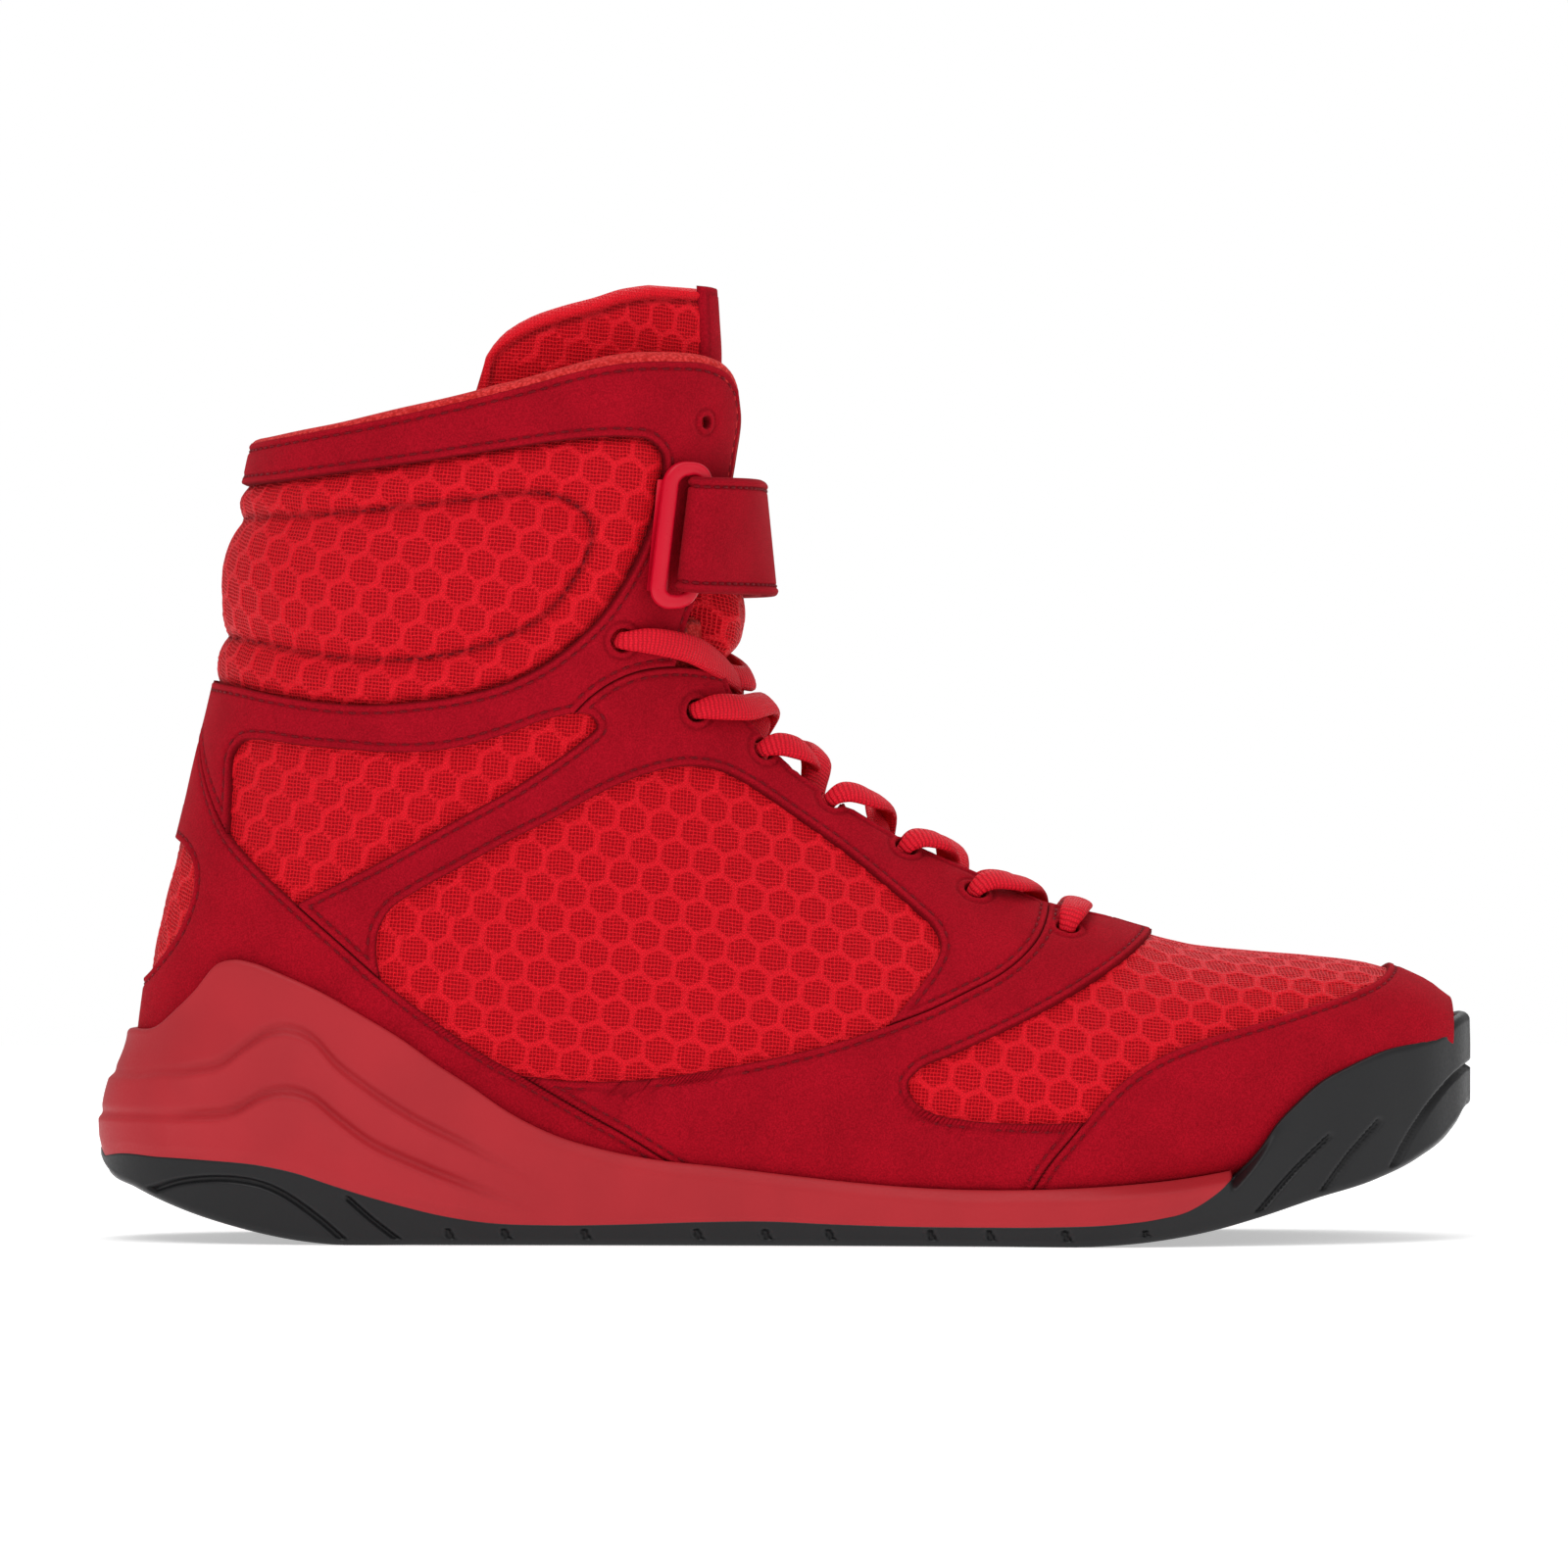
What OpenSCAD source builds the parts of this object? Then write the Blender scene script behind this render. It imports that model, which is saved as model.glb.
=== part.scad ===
// Lace-up boxing boot for the right foot, in millimetres.
// +X points to the toe, +Z up, and the outer side of the foot is at -Y. The sole rests on z = 0.

/* [Sole] */
// Thickness of the rubber under the foot
rubber_t = 3.6; // [3:0.1:4.5]
// How far the sole stands out past the heel of the upper
heel_flare = 8.6; // [6:0.1:10]
// How far the sole stands out past the sides of the upper
side_flare = 4.2; // [3.5:0.1:6]

/* [Upper] */
// Thickness of the suede overlays
suede_t = 1.2; // [0.8:0.1:1.4]
// Thickness of the mesh layer under the overlays
mesh_t = 1.2; // [0.8:0.1:1.2]
// Thickness of the inner lining
lining_t = 1.2; // [0.8:0.1:1.2]
// Depth of the padded collar, from mesh face to lining face
collar_depth = 8; // [6:0.5:9]
// Half of the gap between the two eyelet rows
throat_half = 13; // [11:0.5:15]

/* [Lace and strap] */
// Radius of the punched eyelets
eyelet_r = 2.4; // [2.2:0.1:2.8]
// Diameter of the lace
lace_d = 2.6; // [2:0.1:3]
// Width of the ankle strap
strap_w = 24; // [20:1:25]
// Thickness of the ankle strap
strap_t = 2; // [1.5:0.1:2.2]

/* [Hidden] */

gap = 0.1;                      // play between two layers
suede_color = [0.72, 0.03, 0.12];
mesh_color = [0.90, 0.05, 0.10];
lining_color = [0.93, 0.25, 0.24];
sole_color = [0.70, 0.19, 0.22];
rubber_color = [0.15, 0.15, 0.16];
foam_color = [0.85, 0.80, 0.70];
LATERAL = -1;
MEDIAL = 1;
BOTH = 0;

// ---- The last: the mesh face of the upper, as sections in planes that fan out from one line ----

fan = [150, 200];               // the line that every section plane passes through, in the side view
last_angle = 268.55;            // the section that shrinks to the tip of the toe
front_line = [[-10, 208], [-9.5, 200], [-9, 191], [-9.5, 182], [-11, 170], [-12.5, 158],
    [-13.5, 147], [-13.5, 136], [-12.5, 127], [-9.5, 119], [-3, 111.5], [6, 102.5], [16, 94.5],
    [26, 87.5], [36, 82], [46, 77], [56, 72.3], [66, 69.3], [76, 66.3], [86, 63.8], [100, 62.2],
    [114, 61], [126, 59.3], [134, 56.5], [140, 53], [144, 48.5], [146, 42]];
back_line = [[-106, 210], [-109, 196], [-111.5, 186], [-114, 176], [-116, 168], [-118, 158],
    [-120.5, 146], [-121.5, 136], [-122, 127], [-124.5, 115], [-127.5, 103], [-130, 92],
    [-133, 80], [-136, 68], [-138, 57], [-139.5, 46], [-140.5, 35], [-140, 24], [-136, 14],
    [-125, 9.5], [-100, 8], [-60, 7.5], [-10, 7.5], [35, 7], [65, 8], [90, 11], [112, 17],
    [128, 25], [138, 33], [143, 38], [146, 42]];
// angle, middle y, half width lateral, half width medial, widest at, squareness front, back
sections = [
    [176, 0, 41, 41, 0.50, 2.8, 2.2], [185, 0, 41, 41, 0.50, 2.8, 2.2],
    [192, 0, 42, 42, 0.50, 2.8, 2.2], [198, 0, 40, 40, 0.50, 2.6, 2.2],
    [205, 0, 37, 37, 0.52, 2.4, 2.2], [212, 0, 36, 36, 0.55, 2.2, 2.4],
    [216, 0, 36, 36, 0.58, 2.2, 3.4], [222, 0, 36.5, 35.5, 0.60, 2.2, 5],
    [230, 0, 39, 37, 0.62, 2.2, 6], [239, 0, 44, 43, 0.64, 2.2, 6],
    [246, 0, 47, 46, 0.64, 2.3, 6], [252, 2, 43.5, 43, 0.62, 2.4, 5],
    [258, 4, 38, 38.5, 0.60, 2.4, 4], [262.5, 6, 31, 31.5, 0.56, 2.4, 3],
    [266, 7, 22.5, 22.5, 0.52, 2.3, 2.4], [267.6, 7, 14.5, 14.5, 0.50, 2.2, 2.2],
    [268.2, 7, 8.5, 8.5, 0.50, 2, 2], [last_angle, 7, 0, 0, 0.50, 2, 2]];

function fan_angle(x, z) = let (a = atan2(z - fan[1], x - fan[0])) a < 0 ? a + 360 : a;
function polar(line) = [for (p = line) [fan_angle(p[0], p[1]), norm(p - fan)]];
front_polar = polar(front_line);
back_polar = polar(back_line);

// A smooth curve through a table's rows, read at one value of its first column.
function span(t, x, i = 0) = i >= len(t) - 2 || x < t[i + 1][0] ? i : span(t, x, i + 1);
function secant(t, i) = (t[i + 1] - t[i]) / (t[i + 1][0] - t[i][0]);
function slope(t, i) =
    i == 0 ? secant(t, 0) :
    i == len(t) - 1 ? secant(t, i - 1) :
    let (h0 = t[i][0] - t[i - 1][0], h1 = t[i + 1][0] - t[i][0])
    (h1 * secant(t, i - 1) + h0 * secant(t, i)) / (h0 + h1);
function row_at(t, x) =
    let (i = span(t, x), h = t[i + 1][0] - t[i][0], u = (x - t[i][0]) / h)
    (2 * u * u * u - 3 * u * u + 1) * t[i] + (u * u * u - 2 * u * u + u) * h * slope(t, i)
    + (3 * u * u - 2 * u * u * u) * t[i + 1] + (u * u * u - u * u) * h * slope(t, i + 1);

function clamp(v, lo, hi) = min(max(v, lo), hi);
function ramp(v, lo, hi) = let (u = clamp((v - lo) / (hi - lo), 0, 1)) u * u * (3 - 2 * u);
function unit(v) = v / norm(v);

// A point of the last. turn is 0 on the front ridge and 180 at the back or under the sole,
// and negative on the lateral side.
function wrap(turn) = turn > 180 ? turn - 360 : turn < -180 ? turn + 360 : turn;
function last_point(a, any_turn) =
    let (s = row_at(sections, a), rf = row_at(front_polar, a)[1], rb = row_at(back_polar, a)[1],
        turn = wrap(any_turn), e = abs(turn),
        w = max(turn < 0 ? s[2] : s[3], 0), n = e <= 90 ? s[5] : s[6],
        c = pow(abs(cos(e)), 2 / n), y = pow(abs(sin(e)), 2 / n),
        t = e <= 90 ? s[4] * (1 - c) : s[4] + (1 - s[4]) * c, r = rf + (rb - rf) * t)
    [fan[0] + r * cos(a), s[1] + (turn < 0 ? -1 : 1) * w * y, fan[1] + r * sin(a)];
function last_middle(a) =
    let (s = row_at(sections, a), rf = row_at(front_polar, a)[1], rb = row_at(back_polar, a)[1],
        r = rf + (rb - rf) * s[4])
    [fan[0] + r * cos(a), s[1], fan[1] + r * sin(a)];
function last_normal(a, turn) =
    let (b = min(a, last_angle - 0.6),
        n = unit(cross(last_point(b + 0.5, turn) - last_point(b - 0.5, turn),
            last_point(b, turn + 2) - last_point(b, turn - 2))))
    n * (last_point(b, turn) - last_middle(b)) < 0 ? -n : n;
function on_last(a, turn, d) = last_point(a, turn) + d * last_normal(a, turn);

// Where a point of the side view lies on the last, as [angle, turn].
function locate(x, z, side) =
    let (a = fan_angle(x, z), s = row_at(sections, a), rf = row_at(front_polar, a)[1],
        rb = row_at(back_polar, a)[1],
        t = clamp((norm([x, z] - fan) - rf) / (rb - rf), 0, 1),
        e = t < s[4] ? acos(pow(1 - t / s[4], s[5] / 2))
            : 180 - acos(pow((t - s[4]) / (1 - s[4]), s[6] / 2)))
    [a, side * e];
function on_side(x, z, side, d) = let (p = locate(x, z, side)) on_last(p[0], p[1], d);
function half_width(x, z, side) =
    let (a = fan_angle(x, z), rf = row_at(front_polar, a)[1], rb = row_at(back_polar, a)[1],
        t = (norm([x, z] - fan) - rf) / (rb - rf))
    t <= 0 || t >= 1 || a > last_angle ? -1 :
    let (s = row_at(sections, a), n = t < s[4] ? s[5] : s[6],
        u = t < s[4] ? 1 - t / s[4] : (t - s[4]) / (1 - s[4]))
    side * s[1] + max(side == LATERAL ? s[2] : s[3], 0) * pow(1 - pow(u, n), 1 / n);

// Depth of the lining's inner face: deepest in the padded collar, and behind
// the stiffeners of the heel and the toe.
function lining_depth(a, any_turn) =
    let (turn = abs(any_turn) > 180 ? 360 - abs(any_turn) : abs(any_turn))
    2.6 + (collar_depth - 2.6) * (1 - ramp(a, 195, 207)) * ramp(turn, 25, 60)
    + 1.7 * ramp(turn, 72, 84) * ramp(a, 196, 200) * (1 - ramp(a, 232, 236)) + 1.7 * ramp(a, 240, 244);

// ---- Panels: part of a layer of the last, cut to an outline drawn in the side view ----

angle_lines = [for (a = [176 : 4 : 260]) a, 263, 265.5, 267.2, 268.2];
turn_lines = [for (t = [0 : 12 : 180]) t];
function picked(lines, lo, hi) = [for (v = lines) if (v >= lo && v <= hi) v];

module layer(side, inner, outer, a_lo = 176, a_hi = 268.2, t_lo = 0, t_hi = 180) {
    rows = picked(angle_lines, a_lo, a_hi);
    half = picked(turn_lines, t_lo, t_hi);
    cols = side == LATERAL ? [for (i = [len(half) - 1 : -1 : 0]) -half[i]]
        : side == MEDIAL ? half
        : t_lo > 0 ? [each half, for (i = [len(half) - 2 : -1 : 0]) 360 - half[i]]
        : [for (i = [len(half) - 1 : -1 : 1]) -half[i], each half];
    closed = side == BOTH && t_lo == 0 && t_hi >= 180;
    n = len(cols) - (closed ? 1 : 0);
    m = len(rows);
    points = [for (face = [inner, outer], a = rows, j = [0 : n - 1])
        on_last(a, cols[j], face(a, cols[j]))];
    function at(face, i, j) = (face * m + i) * n + j % n;
    last_j = closed ? n - 1 : n - 2;
    skins = [for (i = [0 : m - 2], j = [0 : last_j])
        each [[at(1, i, j), at(1, i, j + 1), at(1, i + 1, j + 1)],
            [at(1, i, j), at(1, i + 1, j + 1), at(1, i + 1, j)],
            [at(0, i, j), at(0, i + 1, j + 1), at(0, i, j + 1)],
            [at(0, i, j), at(0, i + 1, j), at(0, i + 1, j + 1)]]];
    ends = [for (j = [0 : last_j])
        each [[at(0, 0, j), at(0, 0, j + 1), at(1, 0, j + 1)],
            [at(0, 0, j), at(1, 0, j + 1), at(1, 0, j)],
            [at(0, m - 1, j), at(1, m - 1, j + 1), at(0, m - 1, j + 1)],
            [at(0, m - 1, j), at(1, m - 1, j), at(1, m - 1, j + 1)]]];
    sides = closed ? [] : [for (i = [0 : m - 2])
        each [[at(0, i, 0), at(1, i + 1, 0), at(0, i + 1, 0)],
            [at(0, i, 0), at(1, i, 0), at(1, i + 1, 0)],
            [at(0, i, n - 1), at(0, i + 1, n - 1), at(1, i + 1, n - 1)],
            [at(0, i, n - 1), at(1, i + 1, n - 1), at(1, i, n - 1)]]];
    polyhedron(points, concat(skins, ends, sides));
}

function reverse(p) = [for (i = [len(p) - 1 : -1 : 0]) p[i]];
function part_of(p, lo, hi) = [for (i = [lo : hi]) p[i]];

// The last as a solid, grown by a function of the place.
module last_solid(grow) {
    rows = angle_lines;
    cols = [for (i = [len(turn_lines) - 1 : -1 : 1]) -turn_lines[i], for (t = turn_lines) if (t < 180) t];
    n = len(cols);
    m = len(rows);
    points = [for (a = rows, t = cols) on_last(a, t, grow(a, t))];
    skins = [for (i = [0 : m - 2], j = [0 : n - 1]) let (p = i * n + j, q = i * n + (j + 1) % n)
        each [[p, q, q + n], [p, q + n, p + n]]];
    caps = [for (j = [1 : n - 2]) each [[0, j + 1, j], [(m - 1) * n, (m - 1) * n + j, (m - 1) * n + j + 1]]];
    polyhedron(points, concat(skins, caps));
}

reach = 70;                     // further than any half width
module side_prism(outline, side = BOTH) {
    shift = side == LATERAL ? 0 : reach;
    rotate([90, 0, 0])
        translate([0, 0, -shift])
            linear_extrude(side == BOTH ? 2 * reach : reach)
                polygon(outline);
}
// The gap between the eyelet rows, seen from above.
module throat(half = throat_half) {
    translate([0, 0, 60])
        linear_extrude(160)
            polygon([[-60, -half - 2], [-8, -half - 2], [20, -half + 1], [60, -half + 4], [67, -half + 7],
                [70, 0], [67, half - 7], [60, half - 4], [20, half - 1], [-8, half + 2], [-60, half + 2]]);
}

// Edges that the pieces share, in the side view, as [x, z].
heel_edge = [[-126, 120.5], [-126, 112], [-125.5, 104], [-123.5, 96], [-119.6, 87.5], [-113, 80],
    [-105, 72.5], [-96, 64.5], [-87, 56.5], [-76, 48], [-65, 40.5], [-57, 36], [-45, 29], [-35, 23.5],
    [-26, 18]];
saddle_top = [[-57, 36], [-45, 34.8], [-30, 35.3], [-15, 37.5], [0, 40.5], [10, 43], [21, 46.5]];
eyestay_front = [[21, 46.5], [30, 49.8], [38, 53.5], [45, 57], [50, 60.8], [53.5, 65], [55.3, 69.5],
    [56, 78]];
window_front = [[21, 46.5], [26, 52.5], [30.5, 58.5], [32.3, 63], [31, 67], [27, 71], [20, 77], [10, 85],
    [0, 92], [-8, 97.5], [-15, 101], [-22, 102], [-30, 100.5], [-40, 96.5], [-50, 91], [-60, 86],
    [-70, 80.5], [-80, 75], [-85, 71.5], [-87.5, 67], [-88, 62], [-87, 56.5]];
band_top = [[-105, 72.5], [-90, 80], [-80, 85.5], [-70, 91], [-60, 96.5], [-50, 103], [-44, 107.5],
    [-41, 110.5], [-42.5, 112.8], [-46, 113.4]];
eyestay_top = [[-46, 113.4], [-43, 116.5], [-38.5, 119.8], [-33, 122.2], [-25, 123.3], [-18, 122.6],
    [-10, 120.5], [-2, 118]];
ankle_top = [[-46, 113.4], [-52, 112], [-60, 109], [-70, 106.2], [-77, 105.2], [-85, 105], [-95, 105.7],
    [-105, 106.6], [-112, 107.6], [-116.5, 107.3], [-118.5, 105], [-119.3, 97], [-119.6, 87.5]];
collar_edge = [[-135, 162.6], [-119.5, 162.6], [-110, 162.9], [-100, 164], [-80, 166.5], [-60, 169.5],
    [-45, 171.6],
    [-35, 172.1], [-30, 171.5], [-27.3, 168.8], [-26.8, 164], [-28, 158], [-30, 152], [-32.5, 146],
    [-35.8, 140], [-40, 134], [-45, 129], [-52, 123.7], [-60, 119.7], [-70, 117], [-80, 115.6],
    [-90, 115], [-100, 115.6], [-110, 117.2], [-118, 119], [-126, 120.5]];
frame_top = [[-130, 171], [-116, 171.3], [-100, 173.5], [-85, 176.2], [-70, 179.5], [-55, 183.2],
    [-45, 186], [-35, 187.9], [-25, 188.4], [-18, 188], [-14, 186.2], [-12, 183]];
frame_front = [[-12, 183], [-11.6, 178], [-12.6, 170], [-14, 162], [-16.5, 152], [-19.5, 142],
    [-22.5, 133], [-25, 123.3]];
vamp_edge = [[64, 26.3], [50, 26], [38, 26.7], [30, 28.4], [26.5, 31], [25.3, 34.5], [27.5, 37.3],
    [35, 40.7], [45, 45.2], [55, 50.2], [65, 56], [73, 61.5], [77.5, 67], [78, 76]];
cap_edge = [[50, 10.5], [55, 17], [60, 23], [65, 29], [70, 34.2], [78, 39.7], [88, 43.7], [100, 47],
    [110, 49.8], [120, 52.8], [127, 56], [131, 60], [132, 70]];
heel_window = [[-150, 86.5], [-132.3, 86.5], [-129, 84.3], [-127, 80.5], [-126.8, 76.5], [-128, 71.5],
    [-130.5, 66], [-134, 61], [-139, 56], [-150, 56]];
// Where the pieces end out of sight, under the sole or under each other.
mesh_split_ankle = [[-150, 112], [-118, 111.5], [-100, 110.5], [-85, 109.8], [-75, 110.3], [-62, 113.6],
    [-50, 118.5], [-38, 124], [-20, 127], [5, 128]];
mesh_split_band = [[-100, 64.5], [-92, 71.5], [-85, 76.5], [-70, 85.5], [-60, 91.2], [-50, 97],
    [-40, 102], [-30, 107]];
stay_edge = [[-40, 123], [-30, 107], [-14, 103.5], [0, 95], [14, 85], [28, 75.5], [40, 68], [56, 60.5],
    [66, 57], [80, 55]];
mesh_split_heel = [[-129.5, 112], [-129, 104], [-127, 95], [-122, 86], [-112, 75], [-100, 64.5], [-90, 56],
    [-78, 46.5], [-66, 38], [-56, 31.5], [-46, 26], [-36, 20], [-24, 10]];
mesh_split_saddle = [[52, 62.3], [40, 50], [24, 44], [18, 36], [18, 24], [22, 10]];
mesh_split_toe = [[56, 11.5], [64, 20], [74, 31], [84, 37], [100, 42], [116, 47], [126, 51], [130, 54],
    [131, 70]];
stay_low = part_of(stay_edge, 1, 6);
stay_outline = concat([[-37, 119]], part_of(stay_edge, 1, 7), [[64, 60], [72, 66], [72, 76], [40, 100],
    [5, 124], [-20, 122.5], [-34, 120.5]]);
heel_floor = [[-110, 14.6], [-124, 16.2], [-136, 19], [-150, 32]];
toe_floor = [[155, 38], [138, 35.5], [128, 28], [112, 20], [90, 14], [64, 10.5]];

module panel(side, inner, outer, outline, a = [176, 268.2], t = [0, 180]) {
    intersection() {
        layer(side, function(a, t) inner, function(a, t) outer, a[0], a[1], t[0], t[1]);
        side_prism(outline, side);
    }
}
module overlay(side, outline, a, t = [0, 180])
    color(suede_color) panel(side, gap, gap + suede_t, outline, a, t);
module mesh_panel(side, outline, a, t = [0, 180])
    color(mesh_color) panel(side, -mesh_t, 0, outline, a, t);

// ---- Eyelets ----

eyelets = [[-20.5, 113.8], [-6, 105.3], [8.8, 94.3], [24.7, 83.8], [39.7, 74.5], [59.5, 66.5]];
ankle_eyelet = [-36, 129];
spare_eyelet = [-18.5, 175.5];
// A drill across the layers at one point of the side view.
module drill(p, side, r) {
    at = on_side(p[0], p[1], side, 0);
    q = locate(p[0], p[1], side);
    n = last_normal(q[0], q[1]);
    translate(at - 12 * n)
        rotate([0, acos(n[2]), atan2(n[1], n[0])])
            cylinder(h = 18, r = r, $fn = 16);
}
module eyelet_drills(side, r) for (p = eyelets) drill(p, side, r);
module collar_drills(r) for (side = [LATERAL, MEDIAL]) {
    drill(ankle_eyelet, side, r);
    drill(spare_eyelet, side, r / 2);
}

// ---- Sole: walls round the foot, as rays from a spine along its middle ----

heel_centre = -104;
toe_centre = 100;
spine_y = [[-150, 0], [50, 0], [100, 5], [150, 5]];
ground_line = [[-149, 17.5], [-147.5, 15.5], [-140, 11.5], [-130, 7.3], [-118, 3.6], [-106, 1],
    [-97, 0], [-80, 0],
    [40, 0], [64, 0], [78, 1.2], [90, 3.3], [100, 6], [112, 9.8], [125, 13.5], [135, 18], [142, 23],
    [146.5, 29],
    [148.6, 34], [149, 40]];
rubber_line = [[-149, 18], [-145, 19], [-135, 18.7], [-125, 18.2], [-112, 17], [-105, 15.5],
    [-98, 13.2], [-90, 10.7],
    [-82, 8.5], [-75, 6.8], [-65, 5.2], [-50, 4.6], [-35, 4.8], [-20, 5.3], [-5, 5.5], [10, 4.9], [25, 4.5],
    [40, 4.4], [55, 4.5], [70, 5.2], [78, 6.2], [85, 8], [90, 11], [95, 15.2], [100, 20.5], [104, 26],
    [108, 30],
    [113, 34.3], [120, 38], [128, 41.3], [135, 43], [141, 45], [145, 48], [149, 49.5]];
sole_top_line = [[-149, 45.5], [-140, 46.5], [-135, 50], [-130, 54], [-124, 59.8], [-120, 60.7],
    [-115, 60], [-108, 57.5],
    [-100, 54], [-92, 49.5], [-82, 43.5], [-75, 38.5], [-68, 34], [-60, 28.5], [-50, 23.5], [-40, 20.5],
    [-30, 18.5],
    [-15, 16.8], [0, 15], [15, 13.4], [30, 12.3], [45, 12], [55, 12.2], [70, 13], [85, 14.5], [94, 16],
    [95, 16.2]];
foot_line = [[-150, 12], [-134, 12], [-125, 9.8], [-100, 8.2], [-60, 7.7], [-10, 7.7], [35, 7.2],
    [65, 8.2], [90, 11.2],
    [112, 17.2], [128, 25.2], [138, 33.2], [150, 38]];
function height(line, x) = row_at(line, clamp(x, line[0][0], line[len(line) - 1][0]))[1];
// The spine's rays: [x of the root, direction], from the toe round the medial side to the heel and back.
heel_rays = 12;
side_rays = 15;
toe_rays = 10;
rays = [for (i = [0 : toe_rays - 1]) [toe_centre, 90 * i / toe_rays],
    for (i = [0 : side_rays - 1]) [toe_centre + (heel_centre - toe_centre) * i / side_rays, 90],
    for (i = [0 : heel_rays - 1]) [heel_centre, 90 + 180 * i / heel_rays],
    for (i = [0 : side_rays - 1]) [heel_centre + (toe_centre - heel_centre) * i / side_rays, 270],
    for (i = [0 : toe_rays - 1]) [toe_centre, 270 + 90 * i / toe_rays]];
function root(ray) = [ray[0], row_at(spine_y, ray[0])[1]];
function along(ray, r) = root(ray) + r * [cos(ray[1]), sin(ray[1])];
function inside_last(p, z) =
    let (side = p[1] < 0 ? LATERAL : MEDIAL) abs(p[1]) < half_width(p[0], z, side);
// How far along a ray the last's wall is at a height, by halving.
function wall(ray, z, lo = 0, hi = 60, n = 10) =
    n == 0 ? (lo + hi) / 2 :
    let (mid = (lo + hi) / 2)
    inside_last(along(ray, mid), z) ? wall(ray, z, mid, hi, n - 1) : wall(ray, z, lo, mid, n - 1);
function toeward(ray) = ray[0] >= toe_centre ? pow(max(cos(ray[1]), 0), 2) : 0;
function heelward(ray) = ray[0] <= heel_centre ? pow(max(-cos(ray[1]), 0), 2) : 0;
function widest_height(ray) = 25 + 15 * toeward(ray);
function flare(ray) =
    side_flare + (3 - side_flare) * toeward(ray) + (heel_flare - side_flare) * heelward(ray);
function outline_radius(ray) = wall(ray, widest_height(ray)) + flare(ray);
skin_t = gap + suede_t + 0.3;   // the overlays inside the sole's cup
rim_t = 1.9;                    // thickness of the cup at its rim
// The outer face of the sole: straight up from the outline, then in to the upper at the rim.
function sole_radius(ray, o, x) =
    let (top = x < 94 ? height(sole_top_line, x) : height(rubber_line, x),
        low = min(20 + 20 * toeward(ray), top - 4), rim = min(wall(ray, top) + skin_t + rim_t, o))
    function(z) let (w = ramp(z, low, top)) o - (o - rim) * w * w;
function foot(x) = height(foot_line, x);
function edge_of_foot(ray) = wall(ray, foot(along(ray, wall(ray, foot(ray[0]) + 4))[0]) + 2);
function inner_radius(ray) =
    let (x = along(ray, edge_of_foot(ray))[0]) wall(ray, foot(x) + 4) + skin_t;
function seam_height(x) = max(min(ground(x) + rubber_t, foot(x) - 1.3), ground(x) + 1.2);
// The seam between rubber and foam, from the middle outwards.
function seam(ray, o, x) =
    let (low = ground(x), top = max(height(rubber_line, x), low + 3), side = sole_radius(ray, o, x)(top),
        cup = min(inner_radius(ray) + 4, side - 4), floor_r = max(cup - 8, 0.5), xc = along(ray, cup)[0])
    [[floor_r, seam_height(along(ray, floor_r)[0])], [cup, min(seam_height(xc), top)],
        [side - 3, top], [side, top]];

// A ring of profiles, one for each ray, closed over the spine. Each profile lists [radius, height],
// from its bottom middle round the outside to its top middle.
module ring_solid(profiles, bottom, top) {
    n = len(rays);
    m = len(profiles[0]);
    points = concat(
        [for (i = [0 : n - 1], p = profiles[i]) let (q = along(rays[i], p[0])) [q[0], q[1], p[1]]],
        [for (i = [0 : n - 1], z = [bottom, top]) let (q = root(rays[i])) [q[0], q[1], z(q[0])]]);
    function at(i, j) = (i % n) * m + j;
    function mid(i, k) = let (r = rays[i % n][0],
        // the rays of one fan share a root, so they share its point
        first = r >= toe_centre ? 0 : r <= heel_centre ? toe_rays + side_rays : i % n,
        past = toe_rays + side_rays + heel_rays,
        twin = i % n > past ? past + toe_rays + side_rays - i % n : first)
        n * m + 2 * (r >= toe_centre || r <= heel_centre ? first : twin) + k;
    walls = [for (i = [0 : n - 1], j = [0 : m - 2])
        each [[at(i, j), at(i, j + 1), at(i + 1, j + 1)], [at(i, j), at(i + 1, j + 1), at(i + 1, j)]]];
    floors = [for (i = [0 : n - 1])
        each concat(
            [[at(i, 0), at(i + 1, 0), mid(i + 1, 0)], [at(i + 1, m - 1), at(i, m - 1), mid(i, 1)]],
            mid(i, 0) == mid(i + 1, 0) ? [] : [[at(i, 0), mid(i + 1, 0), mid(i, 0)],
                [at(i + 1, m - 1), mid(i, 1), mid(i + 1, 1)]])];
    polyhedron(points, concat(walls, floors));
}
function ground(x) = height(ground_line, x);
// The room for the upper inside the cup: its sides with their overlays, but not the floor.
module upper_room()
    last_solid(function(a, t) gap + suede_t + 0.15 - 2.4 * ramp(abs(t), 164, 176) * ramp(a, 213, 216));

module rubber_ring()
    ring_solid([for (r = rays)
        let (o = outline_radius(r), x = along(r, o)[0], low = ground(x),
            top = max(height(rubber_line, x), low + 3),
            side = sole_radius(r, o, x), mid = max(o - 8, 1), s = seam(r, o, x), wrap = x > 94,
            inner = max(inner_radius(r), 1))
        [[mid, ground(along(r, mid)[0])],
            [o - 2, ground(along(r, o - 2)[0]) + 0.2],
            [side(low + 1.6), low + 1.6], [side((low + top) / 2 + 0.5), (low + top) / 2 + 0.5],
            s[3],
            wrap ? [max(s[3][0] - rim_t, 1), top] : s[2],
            wrap ? [inner, ground(along(r, inner)[0]) + rubber_t] : s[1],
            s[0]]],
        function(x) ground(x), function(x) ground(x) + rubber_t);
module outsole() color(rubber_color) difference() {
    rubber_ring();
    upper_room();
}

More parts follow.
